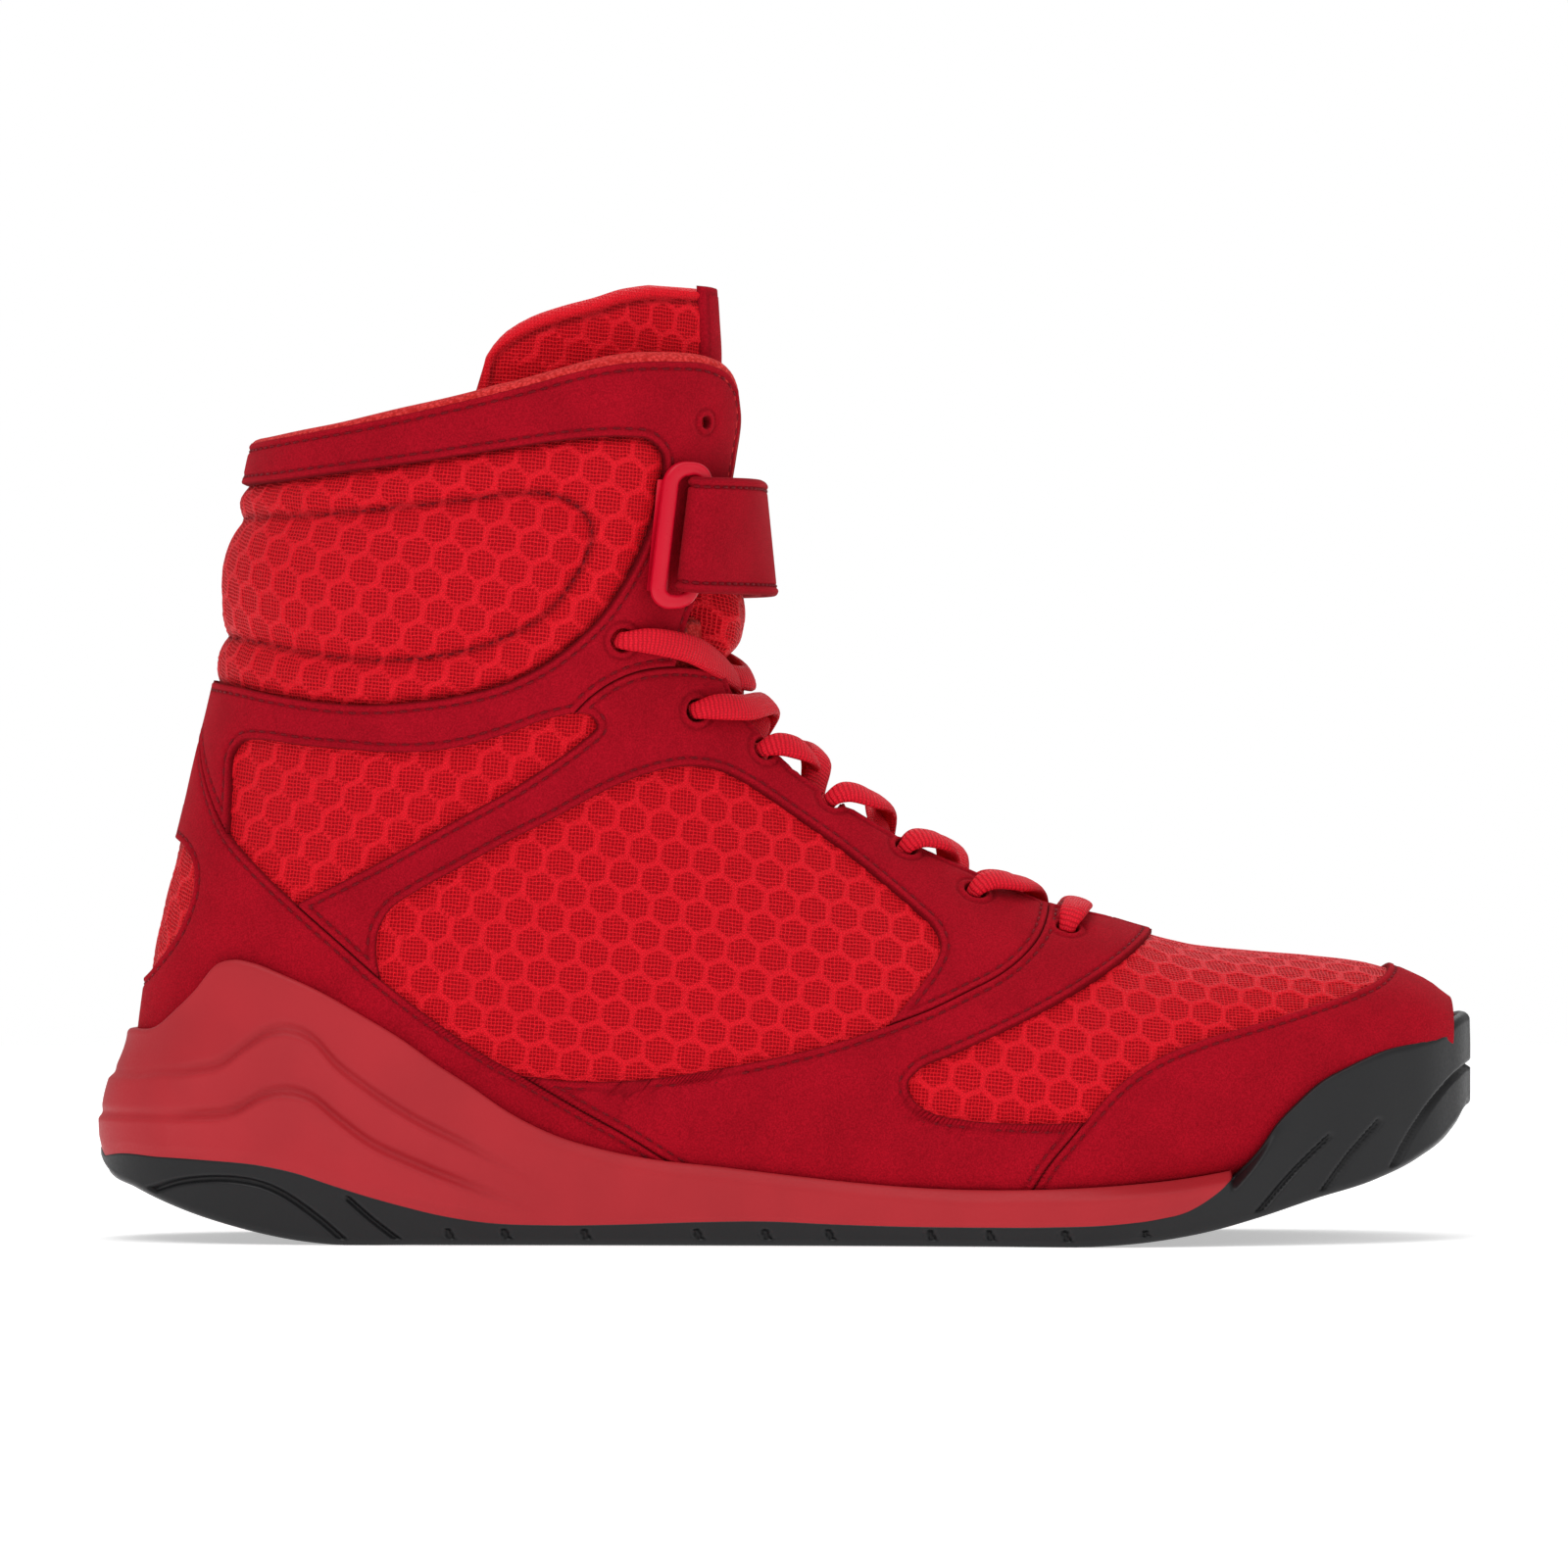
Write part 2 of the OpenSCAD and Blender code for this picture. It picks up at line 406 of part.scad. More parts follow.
module midsole() color(sole_color) difference() {
    ring_solid([for (r = rays)
        let (o = outline_radius(r), x = along(r, o)[0]) x > 94 ? buried_profile(r) : cup_profile(r, o, x)],
        function(x) ground(x) + rubber_t + gap, function(x) foot(x) - 3 * gap);
    upper_room();
    toe_rubber();
    // where the rubber begins to rise over the foam
    intersection() {
        rubber_ring();
        translate([86, -reach, -5]) cube([9, 2 * reach, 60]);
    }
}
// Under the toes the midsole is a thin wedge inside the rubber.
function buried_profile(r) =
    let (edge = inner_radius(r) - 5, x = along(r, edge)[0], low = ground(x) + rubber_t + gap,
        top = max(foot(x) - 4 * gap, low + 0.6), mid = max(edge - 7, 0.5), xm = along(r, mid)[0])
    concat([[mid, ground(xm) + rubber_t + gap]], [for (i = [0 : 8]) [edge, low + (top - low) * i / 8]],
        [[mid, max(foot(xm) - 4 * gap, ground(xm) + rubber_t + 0.8)]]);
// Elsewhere it is a cup that rises outside the upper.
function cup_profile(r, o, x) =
    let (side = sole_radius(r, o, x), cup = inner_radius(r), s = seam(r, o, x), rubber = s[3][1] + 3 * gap,
        top = max(height(sole_top_line, x), rubber + 1), xc = along(r, cup)[0], start = foot(xc) + 4,
        edge = edge_of_foot(r), mid = max(edge - 12, 0.5))
    [for (i = [0 : 3]) s[i] + (x < 0 && (i == 1 || i == 2) ? [-6 * gap, 5 * gap] : [0, 3 * gap]),
        each [[side((2 * rubber + top) / 3), (2 * rubber + top) / 3], [side(top), top],
        [side(top) - rim_t, top], [wall(r, (start + top) / 2) + skin_t, (start + top) / 2],
        [cup, foot(xc) + 0.4], [edge - 5, foot(along(r, edge - 5)[0]) - 3 * gap],
        [mid, foot(along(r, mid)[0]) - 3 * gap]]];
// The rubber that wraps up round the toes, grown, for the midsole to stop short of.
module toe_rubber() intersection() {
    ring_solid([for (r = rays)
        let (o = outline_radius(r) + 1, cup = max(inner_radius(r) - 4.5, 1), low = along(r, cup)[0])
        [[1, -5], [o, -5], [o, 60], [o, 61], [cup, 61], [cup, ground(low) + rubber_t + gap + 0.05],
            [1, ground(root(r)[0]) + rubber_t]]],
        function(x) -5, function(x) ground(x) + rubber_t);
    translate([94.1, -reach, -5]) cube([80, 2 * reach, 80]);
}

// A flat board inside the foot, between two heights above the foot line.
module board(inset, bottom, top)
    ring_solid([for (r = rays)
        let (edge = edge_of_foot(r),
            radii = [max(edge - 12, 0.5), edge - 5, each inset < 5 ? [edge - inset] : []],
            feet = [for (radius = radii) foot(along(r, radius)[0])], n = len(radii) - 1)
        concat([for (i = [0 : n]) [radii[i], feet[i] + bottom]],
            [for (i = [n : -1 : 0]) [radii[i], feet[i] + top]])],
        function(x) foot(x) + bottom, function(x) foot(x) + top);
module strobel_board() color(foam_color) board(2, gap, 1.4);
module sockliner() color([0.2, 0.2, 0.22]) board(5, 1.6, 4.8);

// ---- Stiffeners ----

module heel_counter() color(foam_color)
    panel(BOTH, -2.75, -mesh_t - gap, [[-150, 30], [-134, 18], [-124, 15.6],
        [-100, 14], [-66, 13.5], [-78, 50], [-100, 84], [-150, 92]], [200, 232], [84, 180]);
module toe_puff() color(foam_color)
    panel(BOTH, -2.75, -mesh_t - gap, 
        concat([[60, 15], [84, 22], [96, 46], [108, 70], [155, 70]], part_of(lining_floor, 0, 4)),
        [244, 268.2], [0, 132]);
module eyelet_stay(side) color(suede_color) difference() {
    panel(side, -mesh_t, 0, stay_outline, [196, 240], [0, 84]);
    throat(throat_half + 1);
    eyelet_drills(side, eyelet_r + 0.7);
}

// ---- Mesh ----

module vamp_mesh() difference() {
    mesh_panel(BOTH,
        concat(mesh_split_saddle, [[62, 10]], part_of(mesh_split_toe, 0, 8), [[131, 80], [66, 80]]),
        [228, 264.5], [0, 156]);
    throat();
    side_prism([for (p = stay_outline) p + [0.1, -0.1]]);
}
module quarter_mesh(side)
    mesh_panel(side, concat(part_of(mesh_split_heel, 5, 12), reverse(mesh_split_saddle), reverse(stay_low),
        reverse(part_of(mesh_split_band, 1, 6))), [200, 244], [0, 180]);
module ankle_mesh(side)
    mesh_panel(side, concat(mesh_split_band, [stay_edge[0]], reverse(part_of(mesh_split_ankle, 1, 6)),
        part_of(mesh_split_heel, 0, 4)), [188, 224], [0, 180]);
module heel_mesh()
    mesh_panel(BOTH, concat(mesh_split_heel, heel_floor, [[-150, 112]]), [200, 240], [96, 180]);
module collar_mesh() difference() {
    mesh_panel(BOTH, concat(below_rim, back_from_front(5), reverse(part_of(mesh_split_ankle, 0, 7))),
        [176, 212], [0, 180]);
    collar_drills(eyelet_r + 0.7);
}
// Where the layers end below the rolled rim.
below_rim = [for (p = part_of(frame_top, 0, 8)) p - [0, p[0] < -65 ? 6.2 : 3.4]];
// The collar's front edge, further back.
function back_from_front(d) = [for (p = part_of(frame_front, 1, 6)) p - [d, 0]];

// ---- Suede ----

module toe_cap()
    overlay(BOTH, concat(cap_edge, [[155, 70]], toe_floor, [[50, 9.8]]), [239, 268.2], [0, 168]);
module saddle(side) difference() {
    overlay(side, concat(saddle_top, part_of(eyestay_front, 1, 7), reverse(vamp_edge),
        reverse(part_of(cap_edge, 0, 2)),
        [[50, 9.8], [-18, 10], [-26, 18]], reverse(part_of(heel_edge, 12, 13))), [212, 256], [0, 168]);
    throat();
    drill(eyelets[5], side, eyelet_r);
}
module eyestay(side) difference() {
    overlay(side, concat(part_of(heel_edge, 6, 8), reverse(part_of(window_front, 0, 20)),
        part_of(eyestay_front, 1, 7), [[30, 110], [-2, 128]], reverse(eyestay_top),
        reverse(part_of(band_top, 1, 8))), [200, 240], [0, 180]);
    throat();
    for (i = [0 : 4]) drill(eyelets[i], side, eyelet_r);
}
module heel_overlay() difference() {
    overlay(BOTH, concat(heel_edge, [[-18, 10]], heel_floor, [[-150, 120.5]]), [196, 244], [84, 180]);
    side_prism(heel_window);
}
module collar_frame() difference() {
    overlay(BOTH, concat(frame_top, part_of(frame_front, 1, 7), reverse(part_of(eyestay_top, 0, 3)),
        part_of(ankle_top, 1, 12), reverse(part_of(heel_edge, 0, 3)), reverse(part_of(collar_edge, 0, 24))),
        [180, 216], [0, 180]);
    collar_drills(eyelet_r);
}

// ---- Lining and padding ----

lining_outer = function(a, t) lining_t - lining_depth(a, t);
lining_inner = function(a, t) -lining_depth(a, t);
module lining(side, outline, a, t = [0, 180]) color(lining_color) intersection() {
    layer(side, lining_inner, lining_outer, a[0], a[1], t[0], t[1]);
    side_prism(outline, side);
}
collar_floor = [[-29, 123.5], [-38, 118], [-80, 110], [-150, 110]];
module collar_lining() difference() {
    lining(BOTH, concat(below_rim, back_from_front(6), collar_floor), [176, 212]);
    collar_drills(eyelet_r + 0.9);
}
module collar_foam() color(foam_color) intersection() {
    layer(BOTH, function(a, t) lining_outer(a, t) + gap, function(a, t) -mesh_t - gap, 180, 208, 48, 180);
    side_prism([[-150, 113], [-118, 114], [-90, 113], [-62, 118], [-47, 127], [-38, 140], [-32, 160],
        [-34, 182.5], [-60, 176.5], [-100, 166.5], [-150, 163.5]]);
}
// The lining stops above the sockliner.
lining_floor = [[155, 46], [138, 38.6], [128, 30.6], [112, 22.6], [90, 16.6], [64, 13.6], [35, 12.6],
    [-10, 13.1], [-60, 13.1], [-100, 13.6], [-124, 15.2], [-134, 17.6], [-150, 30]];
module quarter_lining(side) difference() {
    lining(side, concat(reverse(part_of(lining_floor, 7, 12)), [[20, 12.8], [20, 60], [60, 80], [60, 100],
        [-14, 121], [-29, 123.2], [-38, 117.7], [-80, 109.7], [-150, 109.7]]), [196, 244]);
    throat(throat_half + 1);
    eyelet_drills(side, eyelet_r + 0.9);
}
module vamp_lining() difference() {
    lining(BOTH, concat([[155, 80], [60.3, 80], [60.3, 79.7], [20.3, 59.7], [20.3, 12.9], [35, 12.6]],
        reverse(part_of(lining_floor, 0, 5))), [226, 265.5]);
    throat(throat_half + 1);
    for (side = [LATERAL, MEDIAL]) drill(eyelets[5], side, eyelet_r + 0.9);
}

// A long solid with an oval section that follows a path. across is the direction of its first half size.
module sweep(path, across, half_a, half_b, n = 8) {
    m = len(path);
    points = [for (i = [0 : m - 1])
        let (along_it = unit(path[min(i + 1, m - 1)] - path[max(i - 1, 0)]),
            b = unit(cross(along_it, across[i])),
            c = unit(cross(b, along_it)))
        for (k = [0 : n - 1]) path[i] + half_a[i] * cos(360 * k / n) * c + half_b[i] * sin(360 * k / n) * b];
    skins = [for (i = [0 : m - 2], k = [0 : n - 1]) let (p = i * n + k, q = i * n + (k + 1) % n)
        each [[p, q + n, q], [p, p + n, q + n]]];
    caps = [for (k = [1 : n - 2]) each [[0, k, k + 1], [(m - 1) * n, (m - 1) * n + k + 1, (m - 1) * n + k]]];
    polyhedron(points, concat(skins, caps));
}
rim_line = [[-17.8, 150], [-15.6, 160], [-13.8, 170], [-12.8, 178], [-13.6, 183.5], [-17, 187], [-23, 188.6],
    [-32, 188.4], [-45, 185.8], [-60, 181.9], [-75, 178.2], [-90, 175], [-102, 172.8]];
module collar_rim() color(lining_color) {
    places = concat([for (p = rim_line) locate(p[0], p[1], LATERAL)],
        [for (t = [-150, -165, 180, 165, 150]) [locate(-112, 171.9, LATERAL)[0], t]],
        [for (p = reverse(rim_line)) locate(p[0], p[1], MEDIAL)]);
    depth = [for (q = places) lining_depth(q[0], q[1]) / 2];
    sweep([for (i = [0 : len(places) - 1]) on_last(places[i][0], places[i][1], -0.3 - depth[i])],
        [for (q = places) last_normal(q[0], q[1])], [for (d = depth) d + 0.2], [for (d = depth) 2.8]);
}

// ---- Tongue: lies inside the lining, and comes forward between the front edges ----

// angle, face of the tongue at the middle, turn at which it is back under the upper
tongue_front = [[176, -8, 22], [186, -7.5, 22], [192, -6.5, 24], [196, -3, 28], [200, 3, 34], [204, -5, 24],
    [208, -5.2, 22], [214, -5.2, 18], [244, -5.2, 18]];
function tongue_face(a, t) =
    let (s = row_at(tongue_front, a), under = -(lining_depth(a, t) + 1.6 + 2.9 * ramp(a, 194, 200)))
    s[1] + (under - s[1]) * ramp(abs(t), s[2] / 3, s[2]);
tongue_outline = [[-68, 182], [-67.5, 188], [-66, 192], [-62, 195.5], [-55, 198.5], [-48, 200.5],
    [-40, 202], [-33, 203.8], [-27, 204.7], [-22, 204.7], [0, 203], [80, 120], [76, 60], [62, 58], [30, 68],
    [-5, 85], [-35, 106], [-52, 132], [-62, 158]];
function tongue_t(a) = 6 - 2.4 * ramp(a, 214, 234);
module tongue_layer(from, to, outline = tongue_outline, t_hi = 108) intersection() {
    layer(BOTH, function(a, t) tongue_face(a, t) + to * tongue_t(a) / 6,
        function(a, t) tongue_face(a, t) + from * tongue_t(a) / 6, 176, 238, 0, t_hi);
    side_prism(outline);
}
module tongue_cover() color(mesh_color) tongue_layer(0, -1);
module tongue_foam() color(foam_color) tongue_layer(-1.15, -4.85);
module tongue_lining() color(lining_color) tongue_layer(-5, -6);
module tongue_patch() color(suede_color)
    tongue_layer(1, 0.1, [[-24, 206], [-22.5, 195], [-24, 180], [-20, 176], [10, 176], [10, 206]], 24);

// ---- Lace: from a bar at the toe end, both halves cross their way up to the ankle eyelets ----

rows = concat([ankle_eyelet], eyelets);
lace_w = 6;
row_places = [for (p = rows) locate(p[0], p[1], MEDIAL)];
over_d = suede_t + gap + lace_d / 2 + 0.5;
under_d = -4.45;
// One passage at a row: over the edge, down through the eyelet and back under to the gap.
// Each place is [angle, turn, distance from the last, half the width].
function passage(k, side, lift) =
    let (q = row_places[k], below = k < 6 ? row_places[k + 1][0] : q[0],
        above = row_places[max(k - 1, 0)][0], w = lace_w / 2)
    concat(
        k < 6 ? [[k == 0 ? 205.6 : (q[0] + below) / 2, 0, lift, w]] : [],
        [[q[0] + 0.3 * (below - q[0]), side * q[1] * 0.66, over_d + 0.4, w],
            [q[0], side * q[1] * 0.92, over_d, w - 0.4], [q[0], side * q[1], 1.4, 1.6]],
        k > 0 ? [[q[0], side * q[1] * 0.98, under_d + 1.2, 1.7], [q[0], side * q[1] * 0.86, under_d, w],
                [q[0] + 0.25 * (above - q[0]), side * q[1] * 0.6, under_d + 0.3, w]]
            : [[q[0], side * q[1] * 1.01, -lining_depth(q[0], q[1]) - 0.6, 1.6],
                for (i = [1 : 4]) let (t = q[1] + 5 * i)
                    [q[0] + 0.6 * i, side * t, -lining_depth(q[0], t) - 2.2, w]]);
function half_lace(side, lift) = [for (k = [6 : -1 : 0]) each passage(k, k % 2 == 0 ? side : -side, lift)];
lace_places = concat(reverse(half_lace(LATERAL, -1.45)), [[row_places[6][0], 0, 2.2, lace_w / 2]],
    half_lace(MEDIAL, 1.45));
function place(q) = on_last(q[0], q[1], q[2]);
module lace() color(mesh_color)
    sweep([for (q = lace_places) place(q)], [for (q = lace_places) last_normal(q[0], q[1])],
        [for (q = lace_places) lace_d / 2], [for (q = lace_places) q[3]], 6);
module aglets() color(lining_color) for (i = [0, len(lace_places) - 1]) {
    q = lace_places[i];
    side = sign(q[1]);
    start = place(q + [0.2, side * 2.5, 0, 0]);
    end = place([q[0] + 4, q[1] + side * 9, -lining_depth(q[0] + 4, q[1] + 9) - 3, 0]);
    d = unit(end - start);
    translate(start) rotate([0, acos(d[2]), atan2(d[1], d[0])]) cylinder(h = 18, r = 1.2, $fn = 12);
}

// ---- Ankle strap and its moulded guide ----

strap_low = 139.2;
strap_middle = strap_low + strap_w / 2;
bar_r = 1.5;
lean = [2.9, 0, 24];            // the guide's bars lean towards the toe
front_bar = [-19.2, -35.2, strap_middle];
rear_bar = [-26.6, -37.4, strap_middle];
guide_half = 14.3;                // half the height of the guide, between bar centres
// turn round the shaft, outer face of the flap and of the base, from the last
strap_offsets = [[-48, 8.8, 4.1], [-38, 8.9, 4.1], [-30, 8.9, 4.9], [-15, 9, 5.7], [0, 9, 5.7],
    [20, 8.6, 5.3], [45, 7.6, 4.2], [75, 7.4, 4.1]];
shaft_centre = -66.4;
shaft_half = [53.7, 42];        // half size along and across, at the strap
shaft_n = 2.8;
// Plan of the shaft at the strap, grown by d. v runs from 0 at the strap's lower edge to 1 at its top.
function strap_point(e, d, v) =
    let (follow = ramp(e, -32, -5), slant = (1.2 * cos(e) * follow - 1.4 * (1 - follow)) * (1 - 2 * v),
        c = pow(cos(e), 2 / shaft_n), y = pow(abs(sin(e)), 2 / shaft_n) * sign(e),
        n = unit([pow(abs(c), shaft_n - 1) / shaft_half[0],
            sign(e) * pow(abs(y), shaft_n - 1) / shaft_half[1]]))
    [shaft_centre + shaft_half[0] * c + d * n[0] + slant, shaft_half[1] * y + d * n[1],
        strap_low + strap_w * v];
// A band between two turns. face(e) is its outer face, from the plan of the shaft.
module band(from, to, face, t, v = [0, 1], steps = 16) {
    turns = [for (i = [0 : steps]) from + (to - from) * i / steps];
    points = [for (e = turns) each [strap_point(e, face(e) - t, v[0]), strap_point(e, face(e) - t, v[1]),
        strap_point(e, face(e), v[1]), strap_point(e, face(e), v[0])]];
    skins = [for (i = [0 : steps - 1], k = [0 : 3]) let (p = 4 * i + k, q = 4 * i + (k + 1) % 4)
        each [[p, q + 4, q], [p, p + 4, q + 4]]];
    last = 4 * steps;
    polyhedron(points, concat(skins,
        [[0, 1, 2], [0, 2, 3], [last, last + 2, last + 1], [last, last + 3, last + 2]]));
}
flap_face = function(e) row_at(strap_offsets, e)[1];
base_face = function(e) row_at(strap_offsets, e)[2];
flap_turns = [-44, 62];
pad_t = 0.5;
module strap_flap() color(suede_color) union() {
    band(flap_turns[0], flap_turns[1], flap_face, strap_t - 0.2);
    along_bar(front_bar) rotate([0, 0, 180 + 10]) translate([0, 0, -strap_w / 2])
        rotate_extrude(angle = 75, $fn = 32) translate([bar_r + 0.3, 0]) square([strap_t - 0.2, strap_w]);
}
module strap_base() color(suede_color) band(-37, 72, base_face, strap_t - 0.2);
module strap_hook_pad() color([0.3, 0.3, 0.3])
    band(26, 60, function(e) flap_face(e) - strap_t + 0.1, pad_t, [0.12, 0.88], 12);
module strap_loop_pad() color([0.25, 0.25, 0.25])
    band(20, 66, function(e) base_face(e) + pad_t + 0.1, pad_t, [0.1, 0.9], 16);

module along_bar(middle) translate(middle) rotate([0, atan2(lean[0], lean[2]), 0]) children();
module guide_bar(from, to) {
    d = to - from;
    translate(from) rotate([0, acos(d[2] / norm(d)), atan2(d[1], d[0])])
        cylinder(h = norm(d), r = bar_r, $fn = 24);
    translate(to) sphere(r = bar_r + 0.1, $fn = 24);
}
function bar_end(middle, up) = middle + up * guide_half * unit(lean);
module strap_guide() color([0.88, 0.12, 0.24]) union() {
    corners = [bar_end(front_bar, -1), bar_end(front_bar, 1), bar_end(rear_bar, 1), bar_end(rear_bar, -1)];
    for (i = [0 : 3]) guide_bar(corners[i], corners[(i + 1) % 4]);
}

// The flange that the guide's rear bar is moulded on, sewn to the collar's suede.
module strap_anchor() color([0.88, 0.12, 0.24]) difference() {
    panel(LATERAL, suede_t + gap + 0.05, suede_t + gap + 1.2,
        [[-30.4, 139.5], [-26, 139.5], [-23.6, 163], [-28, 163]], [188, 204], [24, 72]);
    along_bar(rear_bar) translate([0, 0, -20]) cylinder(h = 40, r = bar_r + 0.05, $fn = 24);
}

outsole();
midsole();
strobel_board();
sockliner();
heel_counter();
toe_puff();
vamp_mesh();
quarter_mesh(LATERAL);  // quarter_mesh_lateral
quarter_mesh(MEDIAL);  // quarter_mesh_medial
ankle_mesh(LATERAL);  // ankle_mesh_lateral
ankle_mesh(MEDIAL);  // ankle_mesh_medial
heel_mesh();
collar_mesh();
eyelet_stay(LATERAL);  // eyelet_stay_lateral
eyelet_stay(MEDIAL);  // eyelet_stay_medial
toe_cap();
saddle(LATERAL);  // saddle_lateral
saddle(MEDIAL);  // saddle_medial
eyestay(LATERAL);  // eyestay_lateral
eyestay(MEDIAL);  // eyestay_medial
heel_overlay();
collar_frame();
collar_foam();
collar_lining();
collar_rim();
quarter_lining(LATERAL);  // quarter_lining_lateral
quarter_lining(MEDIAL);  // quarter_lining_medial
vamp_lining();
tongue_cover();
tongue_foam();
tongue_lining();
tongue_patch();
lace();
aglets();
strap_guide();
strap_anchor();
strap_base();
strap_flap();
strap_hook_pad();
strap_loop_pad();
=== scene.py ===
import math

import bpy
import numpy as np
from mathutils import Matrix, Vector, kdtree
from mathutils.geometry import delaunay_2d_cdt


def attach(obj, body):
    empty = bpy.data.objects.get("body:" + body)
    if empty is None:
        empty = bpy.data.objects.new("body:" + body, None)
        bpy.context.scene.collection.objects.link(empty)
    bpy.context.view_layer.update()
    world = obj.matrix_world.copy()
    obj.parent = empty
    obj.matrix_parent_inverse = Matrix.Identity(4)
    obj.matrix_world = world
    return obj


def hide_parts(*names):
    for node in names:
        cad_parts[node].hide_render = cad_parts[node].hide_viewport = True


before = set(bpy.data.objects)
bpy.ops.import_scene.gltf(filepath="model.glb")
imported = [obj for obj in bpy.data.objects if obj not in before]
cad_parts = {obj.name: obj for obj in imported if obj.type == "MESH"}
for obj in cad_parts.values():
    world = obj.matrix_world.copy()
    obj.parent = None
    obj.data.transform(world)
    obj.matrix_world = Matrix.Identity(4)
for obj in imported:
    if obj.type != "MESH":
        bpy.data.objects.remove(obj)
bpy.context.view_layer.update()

# A lace-up boxing boot. All sizes in this script are in millimetres, until a mesh is made.
# The upper's pieces lie on the last, the same one as in the CAD: sections in planes that fan out
# from one line, each of two half ovals. A place on it is (a, t): the plane's angle, and the turn
# round the section, 0 on the front ridge, 180 at the back, negative on the lateral side.

MM = 0.001
LATERAL, MEDIAL = -1, 1
SIDES = {LATERAL: "lateral", MEDIAL: "medial"}


# ---------------------------------------------------------------- curves and the last

class Table:
    """A smooth curve through rows of numbers, read at a value of their first column."""

    def __init__(self, rows):
        self.rows = np.array(rows, float)
        step = np.diff(self.rows[:, 0])[:, None]
        secant = np.diff(self.rows, axis=0) / step
        self.slope = np.concatenate([
            secant[:1],
            (step[1:] * secant[:-1] + step[:-1] * secant[1:]) / (step[1:] + step[:-1]),
            secant[-1:]])

    def __call__(self, x):
        x = np.asarray(x, float)
        key = self.rows[:, 0]
        i = np.clip(np.searchsorted(key, x, side="right") - 1, 0, len(key) - 2)
        h = (key[i + 1] - key[i])[..., None]
        u = (x - key[i])[..., None] / h
        return ((2 * u ** 3 - 3 * u ** 2 + 1) * self.rows[i] + (u ** 3 - 2 * u ** 2 + u) * h * self.slope[i]
                + (3 * u ** 2 - 2 * u ** 3) * self.rows[i + 1] + (u ** 3 - u ** 2) * h * self.slope[i + 1])

    def at(self, x):
        """The second column, with the ends held."""
        key = self.rows[:, 0]
        return self(np.clip(x, key[0], key[-1]))[..., 1]


def ramp(v, lo, hi):
    u = np.clip((v - lo) / (hi - lo), 0, 1)
    return u * u * (3 - 2 * u)


def rounded(d, r):
    """A quarter round: 0 at an edge, and 1 from the distance r on."""
    return np.sqrt(np.clip(1 - (1 - np.clip(d / r, 0, 1)) ** 2, 0, 1))


def hump(d, middle, width):
    return np.exp(-((d - middle) / width) ** 2)


def run(points):
    """The length along a path, up to each of its points."""
    return np.concatenate([[0], np.cumsum(np.linalg.norm(np.diff(points, axis=0), axis=1))])


def read_rows(x, key, rows):
    """Rows of numbers read at x, straight between their keys."""
    return np.stack([np.interp(x, key, rows[:, k]) for k in range(rows.shape[1])], 1)


FAN = np.array([150.0, 200.0])      # the line that the planes fan out from
LAST_ANGLE = 268.55                 # the plane where the last ends, at the toe
TIP_ANGLE = 268.2                   # the last plane that a piece's edge may reach


def fan_angle(x, z):
    return np.degrees(np.arctan2(z - FAN[1], x - FAN[0])) % 360


def polar(line):
    line = np.array(line, float)
    return Table(np.stack([fan_angle(line[:, 0], line[:, 1]), np.hypot(*(line - FAN).T)], 1))


FRONT = polar([
    [-10, 208], [-9.5, 200], [-9, 191], [-9.5, 182], [-11, 170], [-12.5, 158], [-13.5, 147], [-13.5, 136],
    [-12.5, 127], [-9.5, 119], [-3, 111.5], [6, 102.5], [16, 94.5], [26, 87.5], [36, 82], [46, 77],
    [56, 72.3], [66, 69.3], [76, 66.3], [86, 63.8], [100, 62.2], [114, 61], [126, 59.3], [134, 56.5],
    [140, 53], [144, 48.5], [146, 42]])
BACK = polar([
    [-106, 210], [-109, 196], [-111.5, 186], [-114, 176], [-116, 168], [-118, 158], [-120.5, 146],
    [-121.5, 136], [-122, 127], [-124.5, 115], [-127.5, 103], [-130, 92], [-133, 80], [-136, 68],
    [-138, 57], [-139.5, 46], [-140.5, 35], [-140, 24], [-136, 14], [-125, 9.5], [-100, 8], [-60, 7.5],
    [-10, 7.5], [35, 7], [65, 8], [90, 11], [112, 17], [128, 25], [138, 33], [143, 38], [146, 42]])
# angle, middle y, half width lateral, half width medial, widest at, squareness front, back
SECTIONS = Table([
    [176, 0, 41, 41, 0.50, 2.8, 2.2], [185, 0, 41, 41, 0.50, 2.8, 2.2],
    [192, 0, 42, 42, 0.50, 2.8, 2.2], [198, 0, 40, 40, 0.50, 2.6, 2.2],
    [205, 0, 37, 37, 0.52, 2.4, 2.2], [212, 0, 36, 36, 0.55, 2.2, 2.4],
    [216, 0, 36, 36, 0.58, 2.2, 3.4], [222, 0, 36.5, 35.5, 0.60, 2.2, 5],
    [230, 0, 39, 37, 0.62, 2.2, 6], [239, 0, 44, 43, 0.64, 2.2, 6],
    [246, 0, 47, 46, 0.64, 2.3, 6], [252, 2, 43.5, 43, 0.62, 2.4, 5],
    [258, 4, 38, 38.5, 0.60, 2.4, 4], [262.5, 6, 31, 31.5, 0.56, 2.4, 3],
    [266, 7, 22.5, 22.5, 0.52, 2.3, 2.4], [267.6, 7, 14.5, 14.5, 0.50, 2.2, 2.2],
    [268.2, 7, 8.5, 8.5, 0.50, 2, 2], [LAST_ANGLE, 7, 0, 0, 0.50, 2, 2]])


def reach(a):
    """The section in each plane, and how far from the fan's line its ridge and its back are."""
    return SECTIONS(a), FRONT(a)[..., 1], BACK(a)[..., 1]


def widest_reach(a):
    s, front_r, back_r = reach(a)
    return front_r + (back_r - front_r) * s[..., 4]


